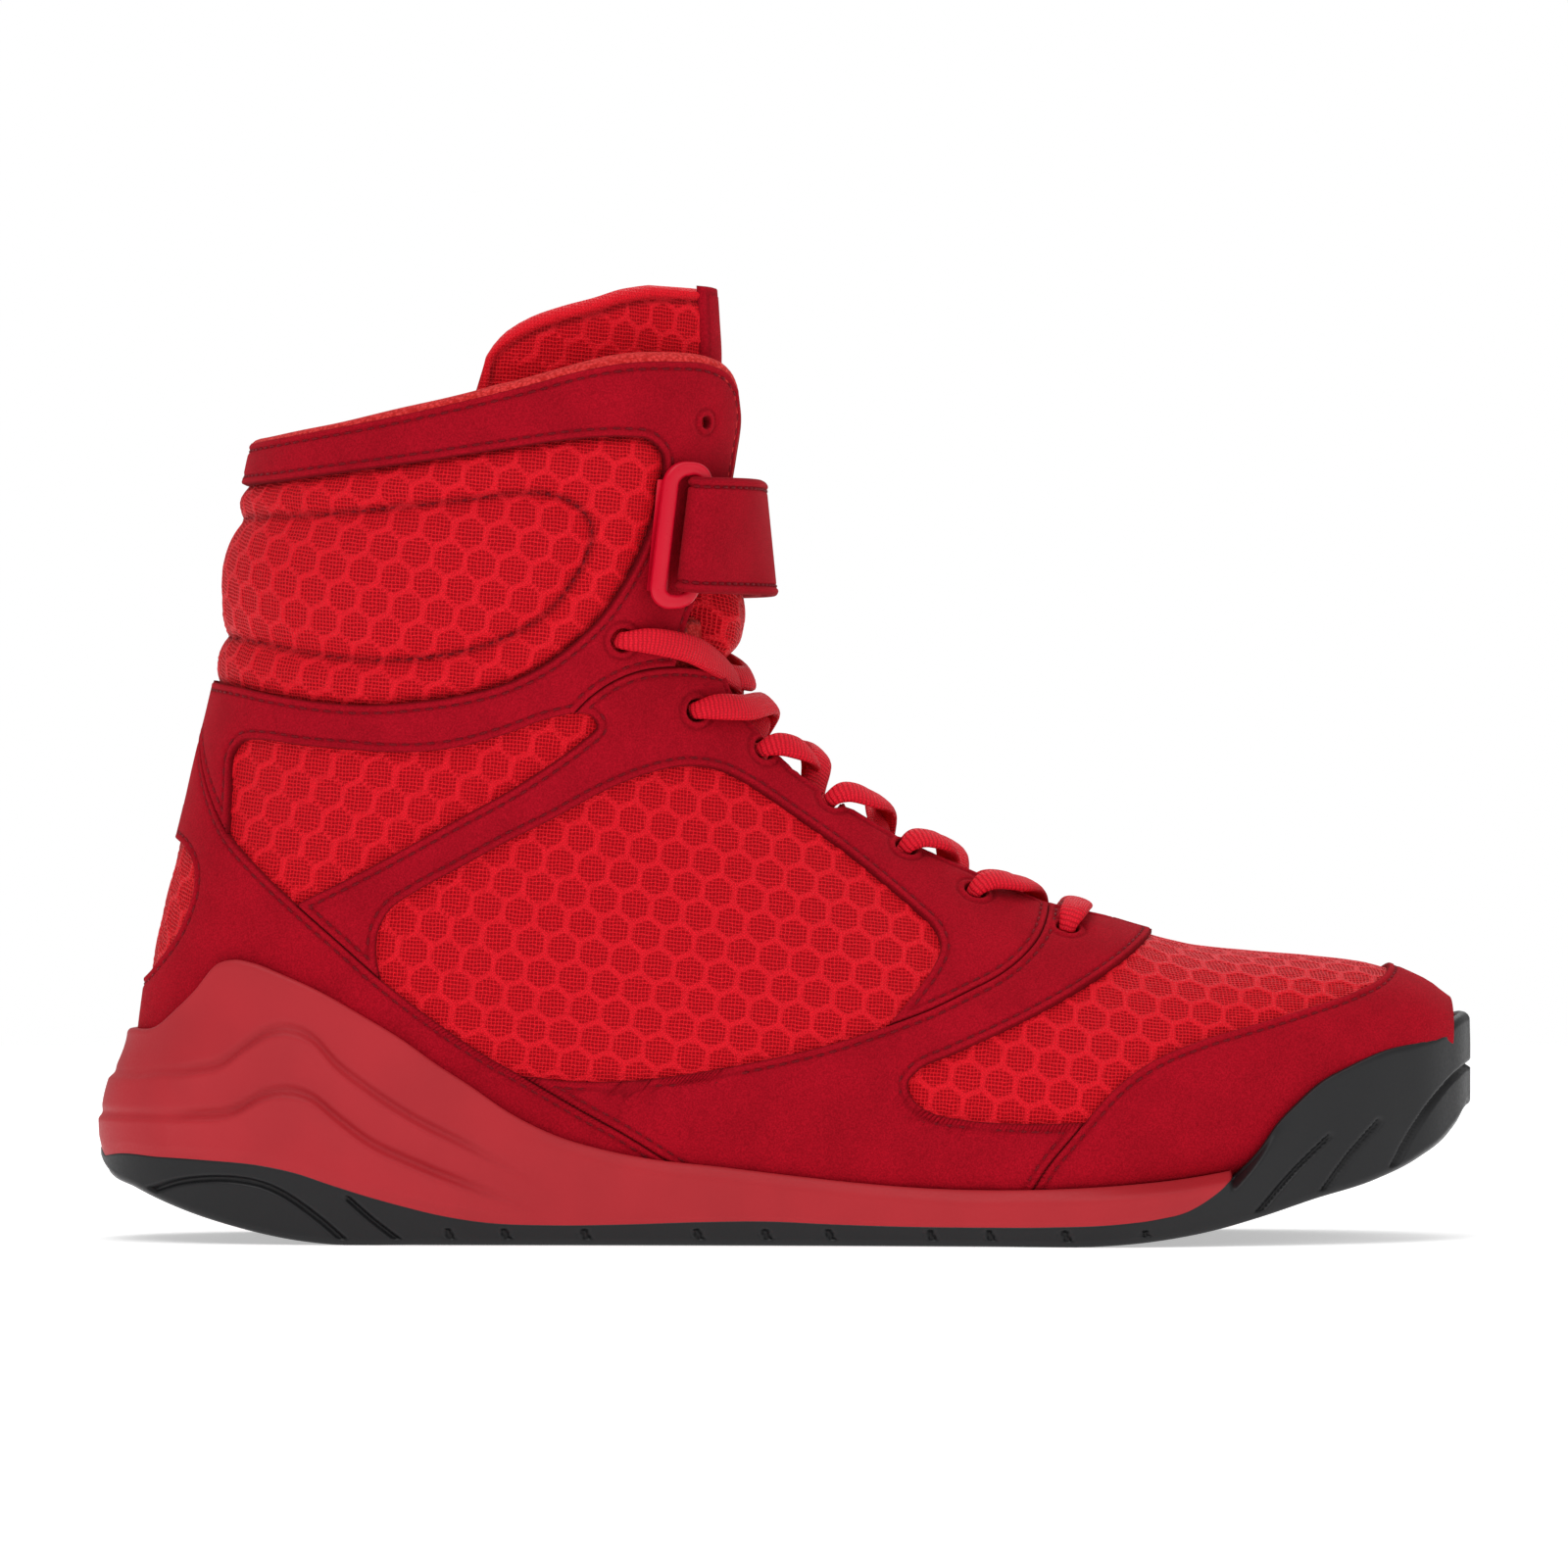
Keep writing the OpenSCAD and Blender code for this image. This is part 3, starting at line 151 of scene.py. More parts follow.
def in_plane(a, r, y):
    """The point at r from the fan's line, in the plane at a."""
    turn = np.radians(a)
    return np.stack([FAN[0] + r * np.cos(turn), y, FAN[1] + r * np.sin(turn)], -1)


def last_point(a, t):
    a, t = np.broadcast_arrays(np.asarray(a, float), np.asarray(t, float))
    t = (t + 180) % 360 - 180
    s, front_r, back_r = reach(a)
    e = np.radians(np.abs(t))
    w = np.maximum(np.where(t < 0, s[..., 2], s[..., 3]), 0)
    before = e <= math.pi / 2
    n = np.where(before, s[..., 5], s[..., 6])
    c = np.abs(np.cos(e)) ** (2 / n)
    y = np.abs(np.sin(e)) ** (2 / n)
    widest = s[..., 4]
    r = front_r + (back_r - front_r) * np.where(before, widest * (1 - c), widest + (1 - widest) * c)
    return in_plane(a, r, s[..., 1] + np.where(t < 0, -1, 1) * w * y)


def unit(v):
    return v / np.maximum(np.linalg.norm(v, axis=-1, keepdims=True), 1e-9)


def turned(t, step):
    """A turn moved on by a step that is even round the section, as turns crowd at its widest place."""
    base = np.floor(t / 180) * 180
    return base + 90 + 90 * (np.cbrt((t - base - 90) / 90) + step) ** 3


def last_normal(a, t):
    a, t = np.broadcast_arrays(np.asarray(a, float), np.asarray(t, float))
    b = np.minimum(a, LAST_ANGLE - 0.6)
    n = unit(np.cross(last_point(b + 0.5, t) - last_point(b - 0.5, t),
                      last_point(b, turned(t, 0.008)) - last_point(b, turned(t, -0.008))))
    middle = in_plane(b, widest_reach(b), SECTIONS(b)[..., 1])
    outward = np.sum(n * (last_point(b, t) - middle), -1, keepdims=True)
    return np.where(outward < 0, -n, n)


def on_last(a, t, d=0.0):
    return last_point(a, t) + np.asarray(d, float)[..., None] * last_normal(a, t)


def on_section(x, z):
    """A point of the side view in its plane: the angle, the section, its share of the way from ridge to
    back, whether that is before the widest place, how far off that place it is, and the squareness."""
    a = fan_angle(x, z)
    s, front_r, back_r = reach(a)
    u = (np.hypot(x - FAN[0], z - FAN[1]) - front_r) / (back_r - front_r)
    widest = s[..., 4]
    before = u < widest
    c = np.clip(np.where(before, 1 - u / widest, (u - widest) / (1 - widest)), 0, 1)
    return a, s, u, before, c, np.where(before, s[..., 5], s[..., 6])


def locate(x, z, side):
    """Where a point of the side view lies on the last."""
    a, _, _, before, c, n = on_section(x, z)
    e = np.degrees(np.arccos(c ** (n / 2)))
    return a, side * np.where(before, e, 180 - e)


def half_width(x, z, side):
    """How far the last reaches sideways at a place of the side view, or -1 outside it."""
    a, s, u, _, c, n = on_section(x, z)
    w = np.maximum(np.where(side < 0, s[..., 2], s[..., 3]), 0)
    out = side * s[..., 1] + w * (1 - c ** n) ** (1 / n)
    return np.where((u <= 0) | (u >= 1) | (a > LAST_ANGLE), -1.0, out)


LINING_DEPTH, COLLAR_DEPTH = 2.6, 8.0     # how far inside the last the boot's inner face is


def lining_depth(a, t):
    t = np.abs((np.asarray(t, float) + 180) % 360 - 180)
    return (LINING_DEPTH + (COLLAR_DEPTH - LINING_DEPTH) * (1 - ramp(a, 195, 207)) * ramp(t, 25, 60)
            + 1.7 * ramp(t, 72, 84) * ramp(a, 196, 200) * (1 - ramp(a, 232, 236)) + 1.7 * ramp(a, 240, 244))


# Lengths round each section, for laying woven patterns on the last without stretching them.
ARC_STEP, ARC_TURNS = 0.5, 180
ARC_A = np.arange(174, 268.5, ARC_STEP)
ARC_T = 90 + 90 * np.linspace(-1, 1, 2 * ARC_TURNS + 1) ** 3
_ring = last_point(ARC_A[:, None], -ARC_T[None, :])
ARC_S = np.concatenate([np.zeros((len(ARC_A), 1)),
                        np.cumsum(np.linalg.norm(np.diff(_ring, axis=1), axis=-1), axis=1)], 1)


def arc_length(a, t):
    i = np.clip((np.asarray(a, float) - ARC_A[0]) / ARC_STEP, 0, len(ARC_A) - 1.001)
    j = np.clip(ARC_TURNS + ARC_TURNS * np.cbrt((np.asarray(t, float) - 90) / 90), 0, len(ARC_T) - 1.001)
    i0 = i.astype(int)
    j0 = j.astype(int)
    u = i - i0
    v = j - j0
    return ((1 - u) * ((1 - v) * ARC_S[i0, j0] + v * ARC_S[i0, j0 + 1])
            + u * ((1 - v) * ARC_S[i0 + 1, j0] + v * ARC_S[i0 + 1, j0 + 1]))


def unrolled(a, t, over_back=False):
    """Flat cloth coordinates: the side view, rolled out past the ridge or the back."""
    t = (np.asarray(t, float) + 180) % 360 - 180
    a = np.asarray(a, float)
    e = np.abs(t)
    s = arc_length(a, e)
    far = 2 * arc_length(a, 180.0 + 0 * a) - s if over_back else -s
    s = np.where(t > 0, far, s) - arc_length(a, 90.0 + 0 * a)
    r = widest_reach(a) + s
    return np.stack([FAN[0] + r * np.cos(np.radians(a)), FAN[1] + r * np.sin(np.radians(a))], -1)


def even_turns(a, lo, hi, step):
    """Turns that are evenly spaced round the section at a."""
    fine = np.concatenate([ARC_T[:-1] - 180, ARC_T[:-1], ARC_T + 180])
    fine = np.concatenate([[lo], fine[(fine > lo) & (fine < hi)], [hi]])
    s = run(last_point(a, fine))
    return np.interp(np.linspace(0, s[-1], max(int(s[-1] / step), 2) + 1), s, fine)


# ---------------------------------------------------------------- edges, in the side view

def curve(points, n=10):
    """A smooth curve through points, as n steps for each stretch. part() takes stretches of it."""
    p = np.array(points, float)
    if len(p) == 2:
        return p[0] + (p[1] - p[0]) * np.linspace(0, 1, n + 1)[:, None]
    chord = np.linalg.norm(np.diff(p, axis=0), axis=1)
    key = np.concatenate([[0], np.cumsum(chord ** 0.7)])
    table = Table(np.column_stack([key, p]))
    x = np.concatenate([np.linspace(key[i], key[i + 1], n, endpoint=False) for i in range(len(p) - 1)]
                       + [key[-1:]])
    return table(x)[:, 1:]


def part(c, lo, hi, n=10):
    piece = c[min(lo, hi) * n: max(lo, hi) * n + 1]
    return piece if hi > lo else piece[::-1]


HEEL_EDGE = curve([[-126, 120.5], [-126, 112], [-125.5, 104], [-123.5, 96], [-119.6, 87.5], [-113, 80],
                   [-105, 72.5], [-96, 64.5], [-87, 56.5], [-76, 48], [-65, 40.5], [-57, 36], [-45, 29],
                   [-35, 23.5], [-26, 18], [-14, 11]])
SADDLE_TOP = curve([[-57, 36], [-45, 34.8], [-30, 35.3], [-15, 37.5], [0, 40.5], [10, 43], [21, 46.5]])
EYESTAY_FRONT = curve([[21, 46.5], [30, 49.8], [38, 53.5], [45, 57], [50, 60.8], [53.5, 65], [55.3, 69.5],
                       [56, 78]])
WINDOW = curve([[21, 46.5], [26, 52.5], [30.5, 58.5], [32.3, 63], [31, 67], [27, 71], [20, 77], [10, 85],
                [0, 92], [-8, 97.5], [-15, 101], [-22, 102], [-30, 100.5], [-40, 96.5], [-50, 91], [-60, 86],
                [-70, 80.5], [-80, 75], [-85, 71.5], [-87.5, 67], [-88, 62], [-87, 56.5]])
BAND_TOP = curve([[-105, 72.5], [-90, 80], [-80, 85.5], [-70, 91], [-60, 96.5], [-50, 103], [-44, 107.5],
                  [-41, 110.5], [-42.5, 112.8], [-46, 113.4]])
EYESTAY_TOP = curve([[-46, 113.4], [-43, 116.5], [-38.5, 119.8], [-33, 122.2], [-25, 123.3], [-18, 122.6],
                     [-10, 120.5], [-2, 118]])
ANKLE_TOP = curve([[-46, 113.4], [-52, 112], [-60, 109], [-70, 106.2], [-77, 105.2], [-85, 105], [-95, 105.7],
                   [-105, 106.6], [-112, 107.6], [-116.5, 107.3], [-118.5, 105], [-119.3, 97], [-119.6, 87.5]])
COLLAR_EDGE = curve([[-135, 162.6], [-119.5, 162.6], [-110, 162.9], [-100, 164], [-80, 166.5], [-60, 169.5],
                     [-45, 171.6], [-35, 172.1], [-30, 171.5], [-27.3, 168.8], [-26.8, 164], [-28, 158],
                     [-30, 152], [-32.5, 146], [-35.8, 140], [-40, 134], [-45, 129], [-52, 123.7],
                     [-60, 119.7], [-70, 117], [-80, 115.6], [-90, 115], [-100, 115.6], [-110, 117.2],
                     [-118, 119], [-126, 120.5]])
CHANNEL = curve([[-135, 155.5], [-117, 155.5], [-100, 155.8], [-85, 157], [-70, 158.5], [-60, 159.8],
                 [-52, 160], [-46, 158], [-42.5, 154.5], [-41.8, 151], [-43, 146.5], [-46, 141], [-50, 136],
                 [-56, 131.5],
                 [-65, 127.5], [-75, 125.3], [-85, 124.5], [-95, 125], [-105, 126.5], [-113, 128.3],
                 [-121, 129.7], [-135, 131]])
FRAME_TOP = curve([[-130, 171], [-116, 171.3], [-100, 173.5], [-85, 176.2], [-70, 179.5], [-55, 183.2],
                   [-45, 186], [-35, 187.9], [-25, 188.4], [-18, 188], [-14, 186.2], [-12, 183]])
FRAME_FRONT = curve([[-12, 183], [-11.6, 178], [-12.6, 170], [-14, 162], [-16.5, 152], [-19.5, 142],
                     [-22.5, 133], [-25, 123.3]])
VAMP_EDGE = curve([[64, 26.3], [50, 26], [38, 26.7], [30, 28.4], [26.5, 31], [25.3, 34.5], [27.5, 37.3],
                   [35, 40.7], [45, 45.2], [55, 50.2], [65, 56], [73, 61.5], [77.3, 65.2], [79, 67]])
CAP_EDGE = curve([[50, 9.5], [55, 17], [60, 23], [65, 29], [70, 34.2], [78, 39.7], [88, 43.7], [100, 47],
                  [110, 49.8], [120, 52.8], [127, 56], [131, 60]])
HEEL_WINDOW = curve([[-150, 86.5], [-132.3, 86.5], [-129, 84.3], [-127, 80.5], [-126.8, 76.5], [-128, 71.5],
                     [-130.5, 66], [-134, 61], [-139, 56], [-150, 56]])
HEEL_FLOOR = curve([[-14, 10], [-60, 9.5], [-110, 10.5], [-124, 13], [-150, 20]])
SADDLE_FLOOR = curve([[50, 9.5], [20, 9.3], [-14, 10]])
TOE_FLOOR = curve([[50, 9.5], [64, 10.5], [90, 14], [112, 20], [128, 28], [138, 35.5], [145, 40.5]])
THROAT = Table([[196, 15.5], [207.6, 14.5], [219.7, 12.2], [229, 10.5], [234, 9.2], [236.6, 7], [238.3, 3.4]])


def at(c, side):
    a, t = locate(c[:, 0], c[:, 1], side)
    return np.stack([np.minimum(a, TIP_ANGLE), t], 1)


def throat_turn(a):
    s = SECTIONS(a)
    return np.degrees(np.arcsin(np.clip(THROAT.at(a) / s[..., 2], 0, 1) ** (s[..., 5] / 2)))


def throat_loop():
    a = np.concatenate([np.linspace(190, 234, 60), np.linspace(234.2, 238.3, 24)])
    t = throat_turn(a)
    return np.concatenate([np.stack([a, -t], 1), [[238.75, 0]], np.stack([a, t], 1)[::-1]])


# ---------------------------------------------------------------- meshes

def make_mesh(name, points, faces, material, uv=None, attributes=None, body="boot"):
    """A smooth-shaded object from points in millimetres. uv holds one pair for each point."""
    mesh = bpy.data.meshes.new(name)
    mesh.from_pydata((np.asarray(points) * MM).tolist(), [],
                     faces.tolist() if isinstance(faces, np.ndarray) else faces)
    mesh.polygons.foreach_set("use_smooth", [True] * len(mesh.polygons))
    loops = np.empty(len(mesh.loops), int)
    mesh.loops.foreach_get("vertex_index", loops)
    if uv is not None:
        layer = mesh.uv_layers.new(name="cloth")
        layer.data.foreach_set("uv", np.asarray(uv, float)[loops].ravel())
    for key, values in (attributes or {}).items():
        layer = mesh.attributes.new(key, "FLOAT", "POINT")
        layer.data.foreach_set("value", np.asarray(values, float))
    mesh.materials.append(material)
    mesh.update()
    obj = bpy.data.objects.new(name, mesh)
    bpy.context.scene.collection.objects.link(obj)
    if body:
        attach(obj, body)
    return obj


def grid_faces(rows, cols, close_cols=False):
    i, j = np.meshgrid(np.arange(rows - 1), np.arange(cols if close_cols else cols - 1), indexing="ij")
    k = (j + 1) % cols
    return np.stack([i * cols + j, i * cols + k, (i + 1) * cols + k, (i + 1) * cols + j], -1).reshape(-1, 4)


def drop_unused(faces, *arrays):
    """The faces, with the points that none of them uses dropped from every array."""
    used = np.unique(faces)
    new = np.full(used[-1] + 1, -1)
    new[used] = np.arange(len(used))
    return (new[faces],) + tuple(x[used] for x in arrays)


def keep_faces(faces, keep, *arrays):
    """The faces whose corners are all kept."""
    return drop_unused(faces[np.all(keep[faces], axis=1)], *arrays)


def inside(loop, p):
    """Whether points lie in a closed loop, both in the plane."""
    x, y = p[:, 0], p[:, 1]
    result = np.zeros(len(p), bool)
    for (x0, y0), (x1, y1) in zip(loop, np.roll(loop, -1, axis=0)):
        if y0 == y1:
            continue
        crosses = (y0 > y) != (y1 > y)
        result ^= crosses & (x < x0 + (y - y0) * (x1 - x0) / (y1 - y0))
    return result


class Cloud:
    """Nearest distances to a set of points."""

    def __init__(self, points):
        self.points = np.asarray(points)
        self.tree = kdtree.KDTree(len(self.points))
        for i, p in enumerate(self.points.tolist()):
            self.tree.insert(p, i)
        self.tree.balance()

    def nearest(self, points):
        found = [self.tree.find(p) for p in np.asarray(points).tolist()]
        return np.array([f[2] for f in found]), np.array([f[1] for f in found])


def resample(loop, step):
    """Points along a stretch of (a, t), evenly spaced on the last."""
    p = last_point(loop[:, 0], loop[:, 1])
    keep = np.concatenate([[True], np.linalg.norm(np.diff(p, axis=0), axis=1) > 1e-4])
    loop, s = loop[keep], run(p[keep])
    return read_rows(np.linspace(0, s[-1], max(int(round(s[-1] / step)), 1) + 1), s, loop)


def join(*stretches, step=0.9):
    """A closed loop of stretches, evenly spaced, with the corners between them kept sharp."""
    return np.concatenate([resample(c, step)[:-1] for c in stretches])


def ring_on_last(a, t, r, n=24):
    """A circle on the last, as a loop of (a, t)."""
    here = last_point(a, t)
    da = last_point(a + 0.2, t) - here
    dt = last_point(a, t + 0.5) - here
    jacobian = np.stack([da / 0.2, dt / 0.5], 1)
    e1 = unit(da)
    e2 = np.cross(last_normal(a, t), e1)
    phi = 2 * np.pi * np.arange(n) / n
    want = r * (np.cos(phi)[:, None] * e1 + np.sin(phi)[:, None] * e2)
    solved = np.linalg.lstsq(jacobian, want.T, rcond=None)[0].T
    return np.stack([a + solved[:, 0], t + solved[:, 1]], 1)


FLAT = np.array([3.3, 0.62])    # (a, t) to rough millimetres, for triangulating
STITCH_IN = 1.7                 # how far inside a cut edge its seam lies
GRAIN = 2.4                     # spacing of an overlay's points away from its edges
OVERLAY_LIFT = 0.1
CLOTH_STEP = 0.75               # spacing of a mesh fabric's points
seams = {}                      # body: list of (points, directions, normals, length of a stitch)


def offset_places(loop, d):
    """The places d inside a loop, with each one's direction along the loop."""
    before, after = np.roll(loop, 1, axis=0), np.roll(loop, -1, axis=0)
    here = last_point(loop[:, 0], loop[:, 1])
    along = unit(last_point(after[:, 0], after[:, 1]) - last_point(before[:, 0], before[:, 1]))
    inward = np.cross(last_normal(loop[:, 0], loop[:, 1]), along)
    da = (last_point(loop[:, 0] + 0.1, loop[:, 1]) - last_point(loop[:, 0] - 0.1, loop[:, 1])) / 0.2
    dt = (last_point(loop[:, 0], loop[:, 1] + 0.5) - last_point(loop[:, 0], loop[:, 1] - 0.5)) / 1.0
    g = np.array([[np.sum(da * da, 1), np.sum(da * dt, 1)], [np.sum(da * dt, 1), np.sum(dt * dt, 1)]])
    det = np.maximum(g[0, 0] * g[1, 1] - g[0, 1] ** 2, 1e-9)
    places = []
    for sign in (1, -1):
        want = sign * d * inward
        b = np.array([np.sum(da * want, 1), np.sum(dt * want, 1)])
        step = np.stack([(g[1, 1] * b[0] - g[0, 1] * b[1]) / det,
                         (g[0, 0] * b[1] - g[0, 1] * b[0]) / det], 1)
        places.append(loop + np.clip(step, -8, 8))
    side = np.where(inside(loop * FLAT, places[0] * FLAT)[:, None], places[0], places[1])
    return side, along


def edge_profile(d):
    """Height of an overlay's face at a distance from its cut edge: a rolled bead, then a sewn groove."""
    return 0.35 + 0.85 * rounded(d, 0.45) + 0.12 * hump(d, 0.7, 0.4) - 0.42 * hump(d, STITCH_IN, 0.42)


def add_stitches(places, along, lift, spacing=2.6, length=1.7):
    p = on_last(places[:, 0], places[:, 1], lift)
    keep = [0]
    for i in range(1, len(p)):
        if np.linalg.norm(p[i] - p[keep[-1]]) >= spacing:
            keep.append(i)
    normal = last_normal(places[keep, 0], places[keep, 1])
    seams.setdefault("boot", []).append((p[keep], along[keep], normal, length))


def overlay(name, outer, holes, over_back_uv=False, sewn_holes=False):
    """A sheet of suede on the last, cut to a loop of (a, t) places, with a rolled and sewn edge."""
    loops = [outer] + list(holes)

    def within(p):
        ok = inside(outer * FLAT, p * FLAT)
        for hole in holes:
            ok &= ~inside(hole * FLAT, p * FLAT)
        return ok

    # the stretches of the loops that are really edges of the sheet
    edges = []
    for i, loop in enumerate(loops):
        ok = np.ones(len(loop), bool)
        for j, other in enumerate(loops):
            if i != j:
                hit = inside(other * FLAT, loop * FLAT)
                ok &= hit if (j == 0) else ~hit
        edges.append(loop[ok])
    edge = np.concatenate(edges)
    near = np.linalg.norm(last_point(*edge.T) - last_point(*np.roll(edge, 1, axis=0).T), axis=1) < 3
    fine = np.concatenate([edge, ((edge + np.roll(edge, 1, axis=0)) / 2)[near]])
    cloud = Cloud(last_point(*fine.T))

    rows = []
    for d in (0.2, 0.5, 0.95, 1.35, STITCH_IN, 2.1, 2.7):
        for i, loop in enumerate(loops):
            places, along = offset_places(loop, d)
            if i:                   # a hole's rows lie outside its loop
                places = 2 * loop - places
            ok = within(places)
            far, _ = cloud.nearest(last_point(*places.T))
            ok &= far > 0.9 * d
            rows.append(places[ok])
            if d == STITCH_IN and ok.any() and (i == 0 or sewn_holes and len(loop) > 40):
                add_stitches(places[ok], along[ok], OVERLAY_LIFT + edge_profile(STITCH_IN) + 0.12)
    lo, hi = outer.min(0), outer.max(0)
    a = np.arange(lo[0], hi[0], GRAIN / FLAT[0])
    t = even_turns((lo[0] + hi[0]) / 2, lo[1], hi[1], GRAIN)
    a, t = np.meshgrid(a, t, indexing="ij")
    field = np.stack([a.ravel(), t.ravel()], 1)
    field = field[within(field)]
    far, _ = cloud.nearest(last_point(*field.T))
    field = field[far > 3.2 + 0.4 * GRAIN - 0.6]
    places = np.concatenate(loops + rows + [field])
    bounds = []
    start = 0
    for loop in loops:
        n = len(loop)
        bounds += [(start + i, start + (i + 1) % n) for i in range(n)]
        start += n
    found = delaunay_2d_cdt([Vector(p) for p in (places * FLAT).tolist()], bounds, [], 0, 1e-5)
    places = np.array([tuple(v) for v in found[0]]) / FLAT
    faces = np.array(found[2])
    faces, places = drop_unused(faces[within(places[faces].mean(1))], places)
    far, _ = cloud.nearest(last_point(*places.T))

    ends = {}
    for f in faces:
        for k in range(3):
            e = (f[k], f[(k + 1) % 3])
            key = (min(e), max(e))
            ends[key] = None if key in ends else e
    border = [e for e in ends.values() if e]
    rim = sorted({v for e in border for v in e})
    far[rim] = 0
    top = on_last(places[:, 0], places[:, 1], OVERLAY_LIFT + edge_profile(far))
    skirt = on_last(places[rim, 0], places[rim, 1], OVERLAY_LIFT - 0.9)
    twin = {v: len(places) + i for i, v in enumerate(rim)}
    # wind every face so that it looks outwards
    across = np.cross(top[faces[:, 1]] - top[faces[:, 0]], top[faces[:, 2]] - top[faces[:, 0]])
    flip = np.sum(across * last_normal(*places[faces[:, 0]].T), 1) < 0
    faces[flip] = faces[flip][:, ::-1]
    directed = {(f[k], f[(k + 1) % 3]) for f in faces for k in range(3)}
    walls = [[q, p, twin[p], twin[q]] for p, q in (e if e in directed else e[::-1] for e in border)]
    uv = unrolled(places[:, 0], places[:, 1], over_back_uv)
    uv = np.concatenate([uv, uv[rim]])
    # the side wall's distance lies below zero, so the suede shader gives it its darkest painted shade
    far = np.concatenate([far, np.full(len(rim), -0.6)])
    return make_mesh(name, np.concatenate([top, skirt]), faces.tolist() + walls, RED_SUEDE, uv,
                     {"edge": far})


def cells(uv, pitch=6.9):
    """Distance from the border of the honeycomb that is knitted into the mesh."""
    centres = [math.radians(k) for k in (-10, 50, 110)]
    ex = np.array([math.cos(centres[0]), math.sin(centres[0])])
    ey = np.array([-ex[1], ex[0]])
    p = np.stack([uv @ ex, uv @ ey], -1)
    size = np.array([pitch, pitch * math.sqrt(3)])
    best = None
    for shift in (0.0, 0.5):
        q = p - (np.floor(p / size - shift + 0.5) + shift) * size
        if best is None:
            best = q
        best = np.where((np.sum(q * q, -1) < np.sum(best * best, -1))[..., None], q, best)
    across = [np.abs(best @ np.array([math.cos(k - centres[0]), math.sin(k - centres[0])]))
              for k in centres]
    return pitch / 2 - np.max(across, 0)


def knit(name, outline, height=None, base=-0.25, over_back_uv=False, throat=False, seam=None, a_from=None,
         t_range=None):
    """Mesh fabric on the last with its honeycomb standing out. outline is a loop of (a, t)."""
    (a_lo, t_lo), (a_hi, t_hi) = outline.min(0), outline.max(0)
    a_lo, (t_lo, t_hi) = a_from or a_lo, t_range or (t_lo, t_hi)
    a = np.arange(a_lo, a_hi + 0.01, CLOTH_STEP / FLAT[0])
    t = even_turns((a_lo + a_hi) / 2, t_lo, t_hi, CLOTH_STEP)
    a, t = np.meshgrid(a, t, indexing="ij")
    shape = a.shape
    a, t = a.ravel(), t.ravel()
    uv = unrolled(a, t, over_back_uv)
    border = cells(uv)
    lift = 0.26 * (1 - ramp(border, 0.2, 1.15)) + 0.12 * ramp(border, 1.2, 3.4)
    extra = height(a, t, uv) if height else 0
    to_seam = seam[0] if seam else np.full(len(a), 9.0)
    points = on_last(a, t, base + lift + extra)
    places = np.stack([a, t], 1)
    keep = inside(outline * FLAT, places * FLAT)
    if throat:
        keep &= ~inside(throat_loop() * FLAT, places * FLAT)
    faces = grid_faces(*shape)
    faces, points, uv, border, a, t, to_seam = keep_faces(faces, keep, points, uv, border, a, t, to_seam)
    across = np.cross(points[faces[:, 1]] - points[faces[:, 0]], points[faces[:, 3]] - points[faces[:, 0]])
    if np.sum(across * last_normal(a[faces[:, 0]], t[faces[:, 0]])) < 0:
        faces = faces[:, ::-1]
    return make_mesh(name, points, faces, RED_MESH, uv, {"cell": border, "seam": to_seam})


# ---------------------------------------------------------------- materials

